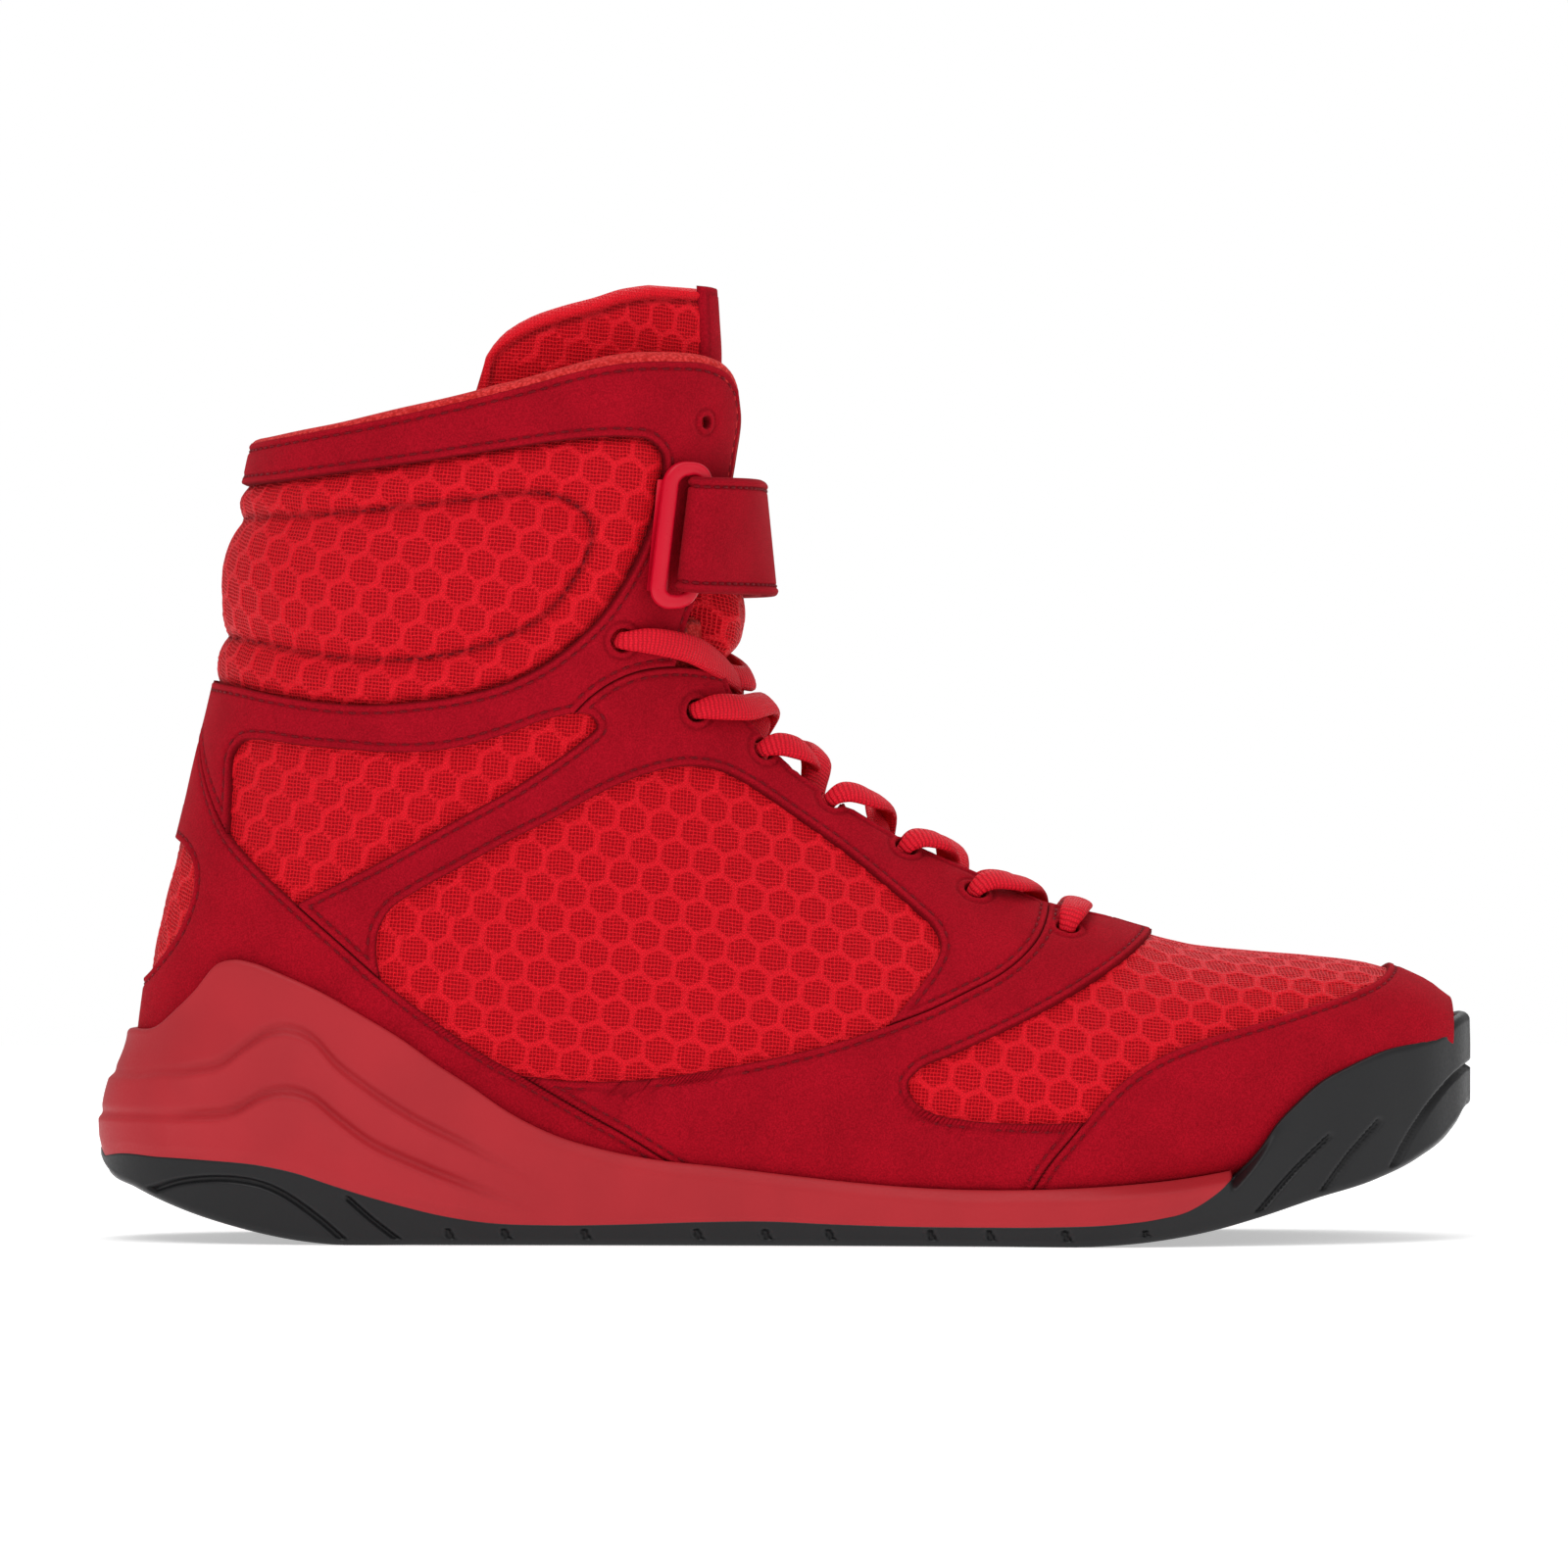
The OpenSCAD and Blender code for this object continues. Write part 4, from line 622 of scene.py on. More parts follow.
class Shader:
    """A material's nodes, made by short calls."""

    def __init__(self, name, color, roughness, **sockets):
        self.material = bpy.data.materials.new(name)
        self.material.use_nodes = True
        self.tree = self.material.node_tree
        self.bsdf = self.tree.nodes["Principled BSDF"]
        self.set("Base Color", (*color, 1))
        self.set("Roughness", roughness)
        for key, value in sockets.items():
            self.set(key.replace("_", " "), value)

    def set(self, socket, value):
        self.bsdf.inputs[socket].default_value = value

    def node(self, kind, inputs=(), **settings):
        n = self.tree.nodes.new("ShaderNode" + kind)
        for key, value in settings.items():
            setattr(n, key, value)
        for key, value in dict(inputs).items():
            if isinstance(value, bpy.types.NodeSocket):
                self.tree.links.new(value, n.inputs[key])
            else:
                n.inputs[key].default_value = value
        return n

    def math(self, operation, a, b=0.0, c=0.0):
        return self.node("Math", {0: a, 1: b, 2: c}, operation=operation).outputs[0]

    def ramp(self, value, lo, hi, out_lo=0.0, out_hi=1.0):
        return self.node("MapRange", {"Value": value, "From Min": lo, "From Max": hi, "To Min": out_lo,
                                      "To Max": out_hi}, interpolation_type="SMOOTHSTEP").outputs[0]

    def place(self):
        return self.node("TexCoord").outputs["Object"]

    def cloth(self):
        return self.node("UVMap", uv_map="cloth").outputs["UV"]

    def attribute(self, name):
        return self.node("Attribute", attribute_name=name).outputs["Fac"]

    def noise(self, scale, detail=2.0, roughness=0.5):
        """Noise whose features are about 1/scale of a millimetre."""
        return self.node("TexNoise", {"Vector": self.place(), "Scale": scale / MM, "Detail": detail,
                                      "Roughness": roughness}).outputs["Fac"]

    def mix(self, factor, a, b):
        colors = {6: a if isinstance(a, bpy.types.NodeSocket) else (*a, 1),
                  7: b if isinstance(b, bpy.types.NodeSocket) else (*b, 1)}
        return self.node("Mix", {0: factor, **colors}, data_type="RGBA").outputs[2]

    def scaled(self, color, factor):
        """A colour darkened or brightened by a factor."""
        n = self.node("Mix", {0: 1.0, 6: color, 7: (1, 1, 1, 1)}, data_type="RGBA", blend_type="MULTIPLY")
        grey = self.node("CombineColor", {0: factor, 1: factor, 2: factor}).outputs[0]
        self.tree.links.new(grey, n.inputs[7])
        return n.outputs[2]

    def link(self, socket, value):
        self.tree.links.new(value, self.bsdf.inputs[socket])

    def bump(self, height, distance, strength=1.0):
        """Height from 0 to 1, as a relief of a distance in millimetres."""
        n = self.node("Bump", {"Strength": strength, "Distance": distance * MM, "Height": height})
        self.link("Normal", n.outputs["Normal"])


def suede(name, color, dark):
    s = Shader(name, color, 0.92, Sheen_Weight=0.14, Sheen_Roughness=0.45, Sheen_Tint=(1.0, 0.1, 0.12, 1),
               Specular_IOR_Level=0.07)
    nap = s.noise(2.6, 3, 0.65)
    blotch = s.noise(0.09, 3, 0.55)
    fibre = s.noise(7.0, 2, 0.7)
    tone = s.mix(s.ramp(nap, 0.3, 0.72), dark, color)
    tone = s.scaled(tone, s.ramp(blotch, 0.3, 0.7, 0.92, 1.07))
    # painted shade: the suede is darkened along each cut edge and down its side wall, and in the sewn groove
    # inside it
    edge = s.attribute("edge")
    cut = s.ramp(edge, -0.1, 0.5, 0.42, 1.0)
    groove = s.math("ABSOLUTE", s.math("SUBTRACT", edge, STITCH_IN))
    tone = s.scaled(tone, s.math("MULTIPLY", cut, s.ramp(groove, 0.1, 0.7, 0.8, 1.0)))
    s.link("Base Color", tone)
    s.bump(s.math("ADD", s.math("MULTIPLY", nap, 0.7), s.math("MULTIPLY", fibre, 0.3)), 0.22, 0.8)
    return s.material


def knitted(name, thread, hole, ridge, pitch=0.77):
    """Mesh: square holes in the cells of a honeycomb whose borders are knitted close."""
    s = Shader(name, thread, 0.6, Sheen_Weight=0.08, Sheen_Roughness=0.4, Sheen_Tint=(1.0, 0.15, 0.15, 1),
               Specular_IOR_Level=0.14)
    laid = s.node("Mapping", {"Vector": s.cloth(), "Rotation": (0, 0, math.radians(4)),
                              "Scale": (1 / pitch, 1 / (pitch * 1.04), 1)}).outputs[0]
    wobble = s.node("TexNoise", {"Vector": laid, "Scale": 0.35, "Detail": 1.0}).outputs["Color"]
    moved = s.node("VectorMath", {0: wobble, 1: (0.8, 0.8, 0)}, operation="MULTIPLY").outputs[0]
    at_cell = s.node("VectorMath", {0: laid, 1: moved}, operation="ADD").outputs[0]
    axes = s.node("SeparateXYZ", {0: at_cell})
    across = s.math("PINGPONG", axes.outputs[0], 0.5)
    up = s.math("PINGPONG", axes.outputs[1], 0.5)
    # 0 on a thread, 1 in the middle of a hole
    open_x = s.ramp(across, 0.12, 0.27)
    open_y = s.ramp(up, 0.14, 0.30)
    opening = s.math("MULTIPLY", open_x, open_y)
    cell = s.attribute("cell")
    clear = s.ramp(cell, 0.4, 0.8)
    opening = s.math("MULTIPLY", opening, clear)
    twist = s.noise(5.0, 2, 0.6)
    tone = s.mix(s.ramp(cell, 0.3, 0.8), ridge, thread)
    tone = s.scaled(tone, s.ramp(twist, 0.3, 0.7, 0.78, 1.12))
    # the holes take the dark hole colour: painted shade standing in for the depth seen through them
    tone = s.mix(opening, tone, hole)
    # painted shade in the sewn creases: the cloth darkens close to the lines held in the seam attribute
    edge = s.math("ABSOLUTE", s.attribute("seam"))
    tone = s.scaled(tone, s.ramp(edge, 0.0, 1.6, 0.55, 1.0))
    s.link("Base Color", tone)
    s.link("Roughness", s.ramp(opening, 0.0, 1.0, 0.5, 0.95))
    rope = s.math("SUBTRACT", 1.0, s.math("MULTIPLY", s.ramp(across, 0.0, 0.3), s.ramp(up, 0.0, 0.3)))
    relief = s.math("SUBTRACT", s.math("MULTIPLY", rope, 0.75), s.math("MULTIPLY", opening, 0.35))
    s.bump(s.math("ADD", relief, s.math("MULTIPLY", twist, 0.35)), 0.3, 0.9)
    return s.material


def terry(name, color, dark):
    s = Shader(name, color, 0.85, Sheen_Weight=0.2, Sheen_Roughness=0.5, Sheen_Tint=(1.0, 0.3, 0.3, 1),
               Specular_IOR_Level=0.12)
    loops = s.node("TexVoronoi", {"Vector": s.place(), "Scale": 1250.0,
                                  "Randomness": 0.85}).outputs["Distance"]
    fine = s.noise(3.5, 3, 0.6)
    tone = s.mix(s.ramp(loops, 0.15, 0.75), color, dark)
    s.link("Base Color", s.scaled(tone, s.ramp(fine, 0.3, 0.7, 0.8, 1.15)))
    s.bump(s.math("SUBTRACT", s.math("MULTIPLY", fine, 0.4), loops), 0.35, 0.9)
    return s.material


def moulded(name, color, roughness, grain, **sockets):
    s = Shader(name, color, roughness, **sockets)
    fine = s.noise(1.6, 3, 0.6)
    wide = s.noise(0.05, 2)
    s.link("Base Color", s.scaled((*color, 1), s.ramp(wide, 0.3, 0.7, 0.95, 1.05)))
    s.link("Roughness", s.ramp(fine, 0.3, 0.7, roughness - 0.05, roughness + 0.06))
    s.bump(fine, grain, 0.6)
    return s.material


def woven(name, color, dark, along=1.15, roughness=0.6):
    """Ribbed weave, from the flat coordinates: u across, v along, in millimetres."""
    s = Shader(name, color, roughness, Sheen_Weight=0.06, Sheen_Roughness=0.4, Sheen_Tint=(1.0, 0.2, 0.2, 1),
               Specular_IOR_Level=0.2)
    axes = s.node("SeparateXYZ", {0: s.cloth()})
    slant = s.math("MULTIPLY", s.math("PINGPONG", axes.outputs[0], 1.0), 0.12)
    rib = s.math("PINGPONG", s.math("DIVIDE", s.math("ADD", axes.outputs[1], slant), along), 0.5)
    warp = s.math("PINGPONG", s.math("DIVIDE", axes.outputs[0], 0.55), 0.5)
    fine = s.noise(4.0, 2, 0.6)
    depth = s.math("MULTIPLY", s.ramp(rib, 0.02, 0.3), s.ramp(warp, -0.2, 0.25))
    s.link("Base Color", s.scaled(s.mix(depth, dark, color), s.ramp(fine, 0.3, 0.7, 0.85, 1.1)))
    s.bump(s.math("ADD", depth, s.math("MULTIPLY", fine, 0.25)), 0.25, 0.9)
    return s.material


RED_SUEDE = suede("red_suede", (0.44, 0.0045, 0.016), (0.27, 0.002, 0.009))
STRAP_SUEDE = suede("strap_suede", (0.42, 0.0045, 0.016), (0.26, 0.002, 0.009))
# colours of the thread, of the painted shade in its holes, and of the ridges
RED_MESH = knitted("red_mesh", (0.80, 0.004, 0.014), (0.36, 0.0, 0.005), (0.84, 0.006, 0.018))
CORAL_TERRY = terry("coral_lining", (0.78, 0.045, 0.045), (0.5, 0.012, 0.012))
FOOT_LINING = terry("foot_lining", (0.55, 0.02, 0.025), (0.32, 0.006, 0.008))
MIDSOLE_FOAM = moulded("midsole_foam", (0.43, 0.02, 0.028), 0.5, 0.035, Specular_IOR_Level=0.22)
BLACK_RUBBER = moulded("black_rubber", (0.0115, 0.0115, 0.0125), 0.42, 0.03, Specular_IOR_Level=0.3)
GUIDE_PLASTIC = moulded("guide_plastic", (0.60, 0.003, 0.022), 0.32, 0.01, Specular_IOR_Level=0.25)
AGLET_FILM = moulded("aglet_film", (0.6, 0.02, 0.04), 0.2, 0.005)
LACE_WEAVE = woven("lace_weave", (0.86, 0.005, 0.024), (0.56, 0.001, 0.012), along=0.9)
STITCH_THREAD = woven("stitch_thread", (0.36, 0.003, 0.014), (0.24, 0.001, 0.008), along=0.5)
BOARD_FIBRE = terry("board_fibre", (0.5, 0.42, 0.32), (0.35, 0.29, 0.22))
SOCK_FOAM = terry("sock_foam", (0.035, 0.035, 0.04), (0.02, 0.02, 0.022))
HOOK_TAPE = terry("hook_tape", (0.30, 0.06, 0.07), (0.16, 0.02, 0.03))


# ---------------------------------------------------------------- the upper

SPLIT_ANKLE = curve([[-150, 112], [-118, 111.5], [-100, 110.5], [-85, 109.8], [-75, 110.3], [-62, 113.6],
                     [-50, 118.5], [-38, 124], [-20, 127], [5, 128]])
SPLIT_BAND = curve([[-100, 64.5], [-92, 71.5], [-85, 76.5], [-70, 85.5], [-60, 91.2], [-50, 97], [-40, 102],
                    [-30, 107]])
STAY_EDGE = curve([[-40, 123], [-30, 107], [-14, 103.5], [0, 95], [14, 85], [28, 75.5], [40, 68], [56, 60.5],
                   [66, 57], [80, 55]])
SPLIT_HEEL = curve([[-129.5, 112], [-129, 104], [-127, 95], [-122, 86], [-112, 75], [-100, 64.5], [-90, 56],
                    [-78, 46.5], [-66, 38], [-56, 31.5], [-46, 26], [-36, 20], [-24, 10]])
SPLIT_SADDLE = curve([[52, 62.3], [40, 50], [24, 44], [18, 36], [18, 24], [22, 10]])
SPLIT_TOE = curve([[56, 11.5], [64, 20], [74, 31], [84, 37], [100, 42], [116, 47], [126, 51], [130, 54],
                   [131, 62]])
EYELETS = [(-20.5, 113.8), (-6, 105.3), (8.8, 94.3), (24.7, 83.8), (39.7, 74.5), (59.5, 66.5)]
ANKLE_EYELET = (-36, 129)
SPARE_EYELET = (-18.5, 175.5)
EYELET_R = 2.4


def corner(x, z, side):
    return at(np.array([[x, z]], float), side)


def eyelet_loop(place, side, r=EYELET_R):
    a, t = locate(np.array([place[0]], float), np.array([place[1]], float), side)
    return ring_on_last(float(a[0]), float(t[0]), r)


def over(c):
    """The other side's twin of a stretch, past the front ridge, going the other way."""
    d = c.copy()
    d[:, 1] = -d[:, 1]
    return d[::-1]


def behind(c):
    """The lateral twin of a medial stretch, on turns that run on past 180, going the other way."""
    d = c.copy()
    d[:, 1] = 360 - np.abs(d[:, 1])
    return d[::-1]


def upper_meshes():
    pieces = {}
    for side, name in SIDES.items():
        quarter = np.concatenate([at(part(SPLIT_HEEL, 5, 12), side), at(SPLIT_SADDLE[::-1], side),
                                  at(part(STAY_EDGE, 6, 1), side), at(part(SPLIT_BAND, 6, 1), side)])
        pieces["quarter_mesh_" + name] = knit("quarter_mesh_" + name + "_cloth", quarter)
        ankle = np.concatenate([at(SPLIT_BAND, side), at(STAY_EDGE[:1], side),
                                at(part(SPLIT_ANKLE, 7, 1), side), at(part(SPLIT_HEEL, 0, 5), side)])
        pieces["ankle_mesh_" + name] = knit("ankle_mesh_" + name + "_cloth", ankle)
    half = np.concatenate([at(SPLIT_SADDLE, LATERAL), at(SPLIT_TOE, LATERAL)])
    vamp = np.concatenate([[[228, 0]], half, over(half)])
    pieces["vamp_mesh"] = knit("vamp_mesh_cloth", vamp, throat=True, a_from=228.5, t_range=(-160, 160))
    half = np.concatenate([at(part(SPLIT_HEEL, 0, 7), MEDIAL), corner(-150, 30, MEDIAL)])
    heel = np.concatenate([half, behind(half)])
    pieces["heel_mesh"] = knit("heel_mesh_cloth", heel, over_back_uv=True, t_range=(100, 260))
    return pieces


def collar_cloth():
    """The padded collar: a long cushion inside a sewn channel, with a flatter roll around it."""
    half = np.concatenate([at(FRAME_TOP - [0, 3], MEDIAL), at(FRAME_FRONT - [4, 0], MEDIAL),
                           at(part(SPLIT_ANKLE, 7, 0), MEDIAL)])
    outline = np.concatenate([half, behind(half)])
    edge, channel = (np.concatenate([at(c, MEDIAL), behind(at(c, MEDIAL))]) for c in (COLLAR_EDGE, CHANNEL))
    edge_cloud, channel_cloud = (Cloud(last_point(*resample(c, 0.6).T)) for c in (edge, channel))
    seam = []

    def height(a, t, uv):
        p = np.stack([a, t], 1)
        within = inside(channel * FLAT, p * FLAT)
        framed = inside(edge * FLAT, p * FLAT)
        points = last_point(a, t)
        to_edge, _ = edge_cloud.nearest(points)
        to_channel, _ = channel_cloud.nearest(points)
        # distance to the nearest sewn line, where the mesh shader paints shade in the crease
        seam.append(np.where(within, to_channel, np.minimum(to_edge, to_channel)))
        ripple = (np.sin(uv[:, 0] / 3.1 + 1.7 * np.sin(uv[:, 1] / 11)) * np.exp(-to_channel / 5) * 0.22
                  + np.sin(uv[:, 0] / 8.3 + uv[:, 1] / 17) * 0.2)
        cushion = -1.3 + 3.3 * (1 - np.exp(-to_channel / 4.6)) + ripple
        roll = -1.0 + 2.3 * (1 - np.exp(-np.minimum(to_edge, to_channel) / 2.6)) + 0.6 * ripple
        return np.where(within, cushion, np.where(framed, roll, -0.9))

    obj = knit("collar_mesh_cloth", outline, height=height, base=0.1, over_back_uv=True, seam=seam)
    places = resample(channel, 0.45)
    p = last_point(*places.T)
    along = unit(np.roll(p, -1, axis=0) - np.roll(p, 1, axis=0))
    add_stitches(places, along, -0.75, spacing=2.1, length=1.2)
    return obj


def suedes():
    pieces = {}
    half = np.concatenate([at(CAP_EDGE, LATERAL), [[corner(131, 60, LATERAL)[0, 0], 0]]])
    floor = at(TOE_FLOOR[::-1], LATERAL)
    floor = floor[floor[:, 0] < 267.7]
    cap = np.concatenate([join(at(CAP_EDGE, LATERAL)), join(over(at(CAP_EDGE, LATERAL))),
                          join(over(floor)), join(floor)])
    pieces["toe_cap"] = overlay("toe_cap_suede", cap, [])
    for side, name in SIDES.items():
        saddle = join(at(SADDLE_TOP, side), at(EYESTAY_FRONT, side),
                      at(np.array([[56, 78], [79, 67]], float), side), at(VAMP_EDGE[::-1], side),
                      at(part(CAP_EDGE, 3, 0), side), at(SADDLE_FLOOR, side),
                      at(part(HEEL_EDGE, 15, 11), side))
        pieces["saddle_" + name] = overlay("saddle_" + name + "_suede", saddle,
                                           [throat_loop(), eyelet_loop(EYELETS[5], side)])
        stay = join(at(part(HEEL_EDGE, 6, 8), side), at(WINDOW[::-1], side), at(EYESTAY_FRONT, side),
                    at(np.array([[56, 78], [30, 100], [-2, 118]], float), side), at(EYESTAY_TOP[::-1], side),
                    at(BAND_TOP[::-1], side))
        pieces["eyestay_" + name] = overlay("eyestay_" + name + "_suede", stay,
                                            [throat_loop()] + [eyelet_loop(e, side) for e in EYELETS[:5]])
    side = at(HEEL_EDGE, MEDIAL)
    floor = at(HEEL_FLOOR, MEDIAL)
    heel = join(side, floor, behind(floor), behind(side))
    hole = at(HEEL_WINDOW, MEDIAL)
    pieces["heel_overlay"] = overlay("heel_overlay_suede", heel, [join(hole, behind(hole))],
                                     over_back_uv=True, sewn_holes=True)
    half = [at(FRAME_TOP, MEDIAL), at(FRAME_FRONT, MEDIAL), at(part(EYESTAY_TOP, 4, 0), MEDIAL),
            at(ANKLE_TOP, MEDIAL), at(part(HEEL_EDGE, 4, 0), MEDIAL)]
    band = join(*half, *[behind(c) for c in half[::-1]])
    ring = at(COLLAR_EDGE, MEDIAL)
    holes = [join(ring, behind(ring))]
    for e, r in ((ANKLE_EYELET, EYELET_R), (SPARE_EYELET, 1.2)):
        one = eyelet_loop(e, MEDIAL, r)
        holes += [one, behind(one)]
    pieces["collar_frame"] = overlay("collar_frame_suede", band, holes, over_back_uv=True, sewn_holes=True)
    return pieces


MESHES = upper_meshes()
COLLAR = collar_cloth()
SUEDES = suedes()
for node, piece in MESHES.items():
    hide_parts(node)
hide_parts("collar_mesh", "collar_foam")
for node, piece in SUEDES.items():
    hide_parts(node)


# ---------------------------------------------------------------- the sole

HEEL_CENTRE, TOE_CENTRE = -104.0, 100.0
SPINE = Table([[-150, 0], [50, 0], [100, 5], [150, 5]])
GROUND = Table([[-149, 17.5], [-147.5, 15.5], [-140, 11.5], [-130, 7.3], [-118, 3.6], [-106, 1], [-97, 0],
                [-80, 0], [40, 0], [64, 0], [78, 1.2], [90, 3.3], [100, 6], [112, 9.8], [125, 13.5], [135, 18],
                [142, 23], [146.5, 29], [148.6, 34], [149, 40]])
RUBBER_TOP = Table([[-149, 18], [-145, 19], [-135, 18.7], [-125, 18.2], [-112, 17], [-105, 15.5], [-98, 13.2],
                    [-90, 10.7], [-82, 8.5], [-75, 6.8], [-65, 5.2], [-50, 4.6], [-35, 4.8], [-20, 5.3],
                    [-5, 5.5], [10, 4.9], [25, 4.5], [40, 4.4], [55, 4.5], [70, 5.2], [78, 6.2], [85, 8],
                    [90, 11], [95, 15.2], [100, 20.5], [104, 26], [108, 30], [113, 34.3], [120, 38],
                    [128, 41.3], [135, 43], [141, 45], [145, 48], [149, 49.5]])
FOAM_TOP = Table([[-149, 45.5], [-140, 46.5], [-135, 50], [-130, 54], [-124, 59.8], [-120, 60.7], [-115, 60],
                  [-108, 57.5], [-100, 54], [-92, 49.5], [-82, 43.5], [-75, 38.5], [-68, 34], [-60, 28.5],
                  [-50, 23.5], [-40, 20.5], [-30, 18.5], [-15, 16.8], [0, 15], [15, 13.4], [30, 12.3], [45, 12],
                  [55, 12.2], [70, 13], [85, 14.5], [94, 16], [95, 16.2]])
WRAP_X = 94                     # forward of this the rubber wraps up over the toes
UPPER_T, RIM_T = 1.6, 1.9       # thickness of the upper, and of the sole's rim outside it
# the lines over the foam's ledges, and the grooves of the rubber with half their widths
LEDGES = [Table([[-141, 35.5], [-138, 36], [-128, 36.7], [-121, 38.3], [-116, 42], [-111, 45], [-105, 45.2],
                 [-101, 43], [-97, 38.5], [-90, 33], [-80, 26.5], [-70, 21.5], [-60, 16.5], [-50, 12]]),
          Table([[-141, 26.8], [-128, 27], [-118, 28.2], [-112, 31.5], [-107, 32.4], [-102, 31], [-96, 26.3],
                 [-90, 21.8], [-80, 17], [-70, 13], [-60, 9.5], [-52, 7]])]
GROOVES = [(curve([[-137, 11.2], [-130, 13.3], [-120, 14], [-113, 13], [-108, 11], [-100, 5.5],
                   [-95, 1.2]]), 0.75),
           (curve([[-94, 10], [-89, 5.6], [-83, 1]]), 0.65), (curve([[99, 6.5], [107, 15.5], [115, 23]]), 0.6),
           (curve([[113, 10.5], [119.5, 19], [126, 26]]), 0.6),
           (curve([[129, 16], [133, 23], [139, 31], [145, 36.5], [149, 38.5]]), 0.65)]
GROOVES += [(np.array([[x, -0.5], [x - 1.6, 2.9]]), 0.85)
            for x in (-71, -59, -42, -18, -3.5, 10, 31.5, 44, 60, 77)]


def sole_rays(step):
    toe = np.linspace(0, 90, int(70 / step))
    sides = np.linspace(TOE_CENTRE, HEEL_CENTRE, int((TOE_CENTRE - HEEL_CENTRE) / step))
    heel = np.linspace(90, 270, int(130 / step))
    x = np.concatenate([toe * 0 + TOE_CENTRE, sides[1:], heel[1:] * 0 + HEEL_CENTRE, sides[::-1][1:],
                        toe[1:-1] * 0 + TOE_CENTRE])
    turn = np.concatenate([toe, sides[1:] * 0 + 90, heel[1:], sides[1:] * 0 + 270, 270 + toe[1:-1]])
    return x, np.radians(turn)


class Sole:
    """The sole's outline as rays from a spine along its middle, like the CAD's, but finer."""

    def __init__(self, step=0.62):
        self.x, self.turn = sole_rays(step)
        self.root = np.stack([self.x, SPINE.at(self.x)], -1)
        self.way = np.stack([np.cos(self.turn), np.sin(self.turn)], -1)
        self.toeward = np.where(self.x >= TOE_CENTRE, np.maximum(self.way[:, 0], 0) ** 2, 0)
        heelward = np.where(self.x <= HEEL_CENTRE, np.maximum(-self.way[:, 0], 0) ** 2, 0)
        flare = 4.2 - 1.2 * self.toeward + 4.4 * heelward
        self.outer = self.smooth(self.wall(25 + 15 * self.toeward) + flare)
        self.edge_x = self.at(self.outer)[:, 0]
        self.top = np.where(self.edge_x >= WRAP_X, RUBBER_TOP.at(self.edge_x), FOAM_TOP.at(self.edge_x))
        self.rim = np.minimum(self.wall(self.top) + UPPER_T + RIM_T, self.outer)

    @staticmethod
    def smooth(v):
        for _ in range(6):
            v = 0.25 * np.roll(v, 1) + 0.5 * v + 0.25 * np.roll(v, -1)
        return v

    def at(self, r):
        return self.root + np.asarray(r)[..., None] * self.way

    def wall(self, z):
        """The radius of the last at a height, found by halving."""
        lo, hi = np.zeros(len(self.x)), np.full(len(self.x), 60.0)
        z = np.broadcast_to(z, lo.shape)
        for _ in range(18):
            mid = (lo + hi) / 2
            p = self.at(mid)
            ok = np.abs(p[:, 1]) < half_width(p[:, 0], z, np.where(p[:, 1] < 0, -1, 1))
            lo, hi = np.where(ok, mid, lo), np.where(ok, hi, mid)
        return (lo + hi) / 2

    def side(self, z):
        """The radius of the sole's face at a height: it leans in to the rim near its top."""
        low = np.minimum(20 + 20 * self.toeward, self.top - 4)
        w = ramp(z, low, self.top)
        return self.outer - (self.outer - self.rim) * w * w

    def shell(self, rows):
        """Points from rows of (radius, height), each with a value for every ray."""
        r = np.array([row[0] for row in rows])
        z = np.array([row[1] for row in rows])
        p = self.root[None] + r[..., None] * self.way[None]
        return np.concatenate([p, z[..., None]], -1)


def groove_depth(x, z):
    """How deep the rubber's grooves are at places of the side view."""
    depth = np.zeros(x.shape)
    for line, half in GROOVES:
        best = np.full(x.shape, 9.0)
        box = (x > line[:, 0].min() - 2) & (x < line[:, 0].max() + 2)
        p = np.stack([x[box], z[box]], -1)
        near = np.full(len(p), 9.0)
        for q0, q1 in zip(line[:-1], line[1:]):
            d = q1 - q0
            u = np.clip(((p - q0) @ d) / (d @ d), 0, 1)
            near = np.minimum(near, np.linalg.norm(p - q0 - u[:, None] * d, axis=1))
        best[box] = near
        depth = np.maximum(depth, 1.15 * (1 - ramp(best, half * 0.45, half * 1.15)))
    return depth


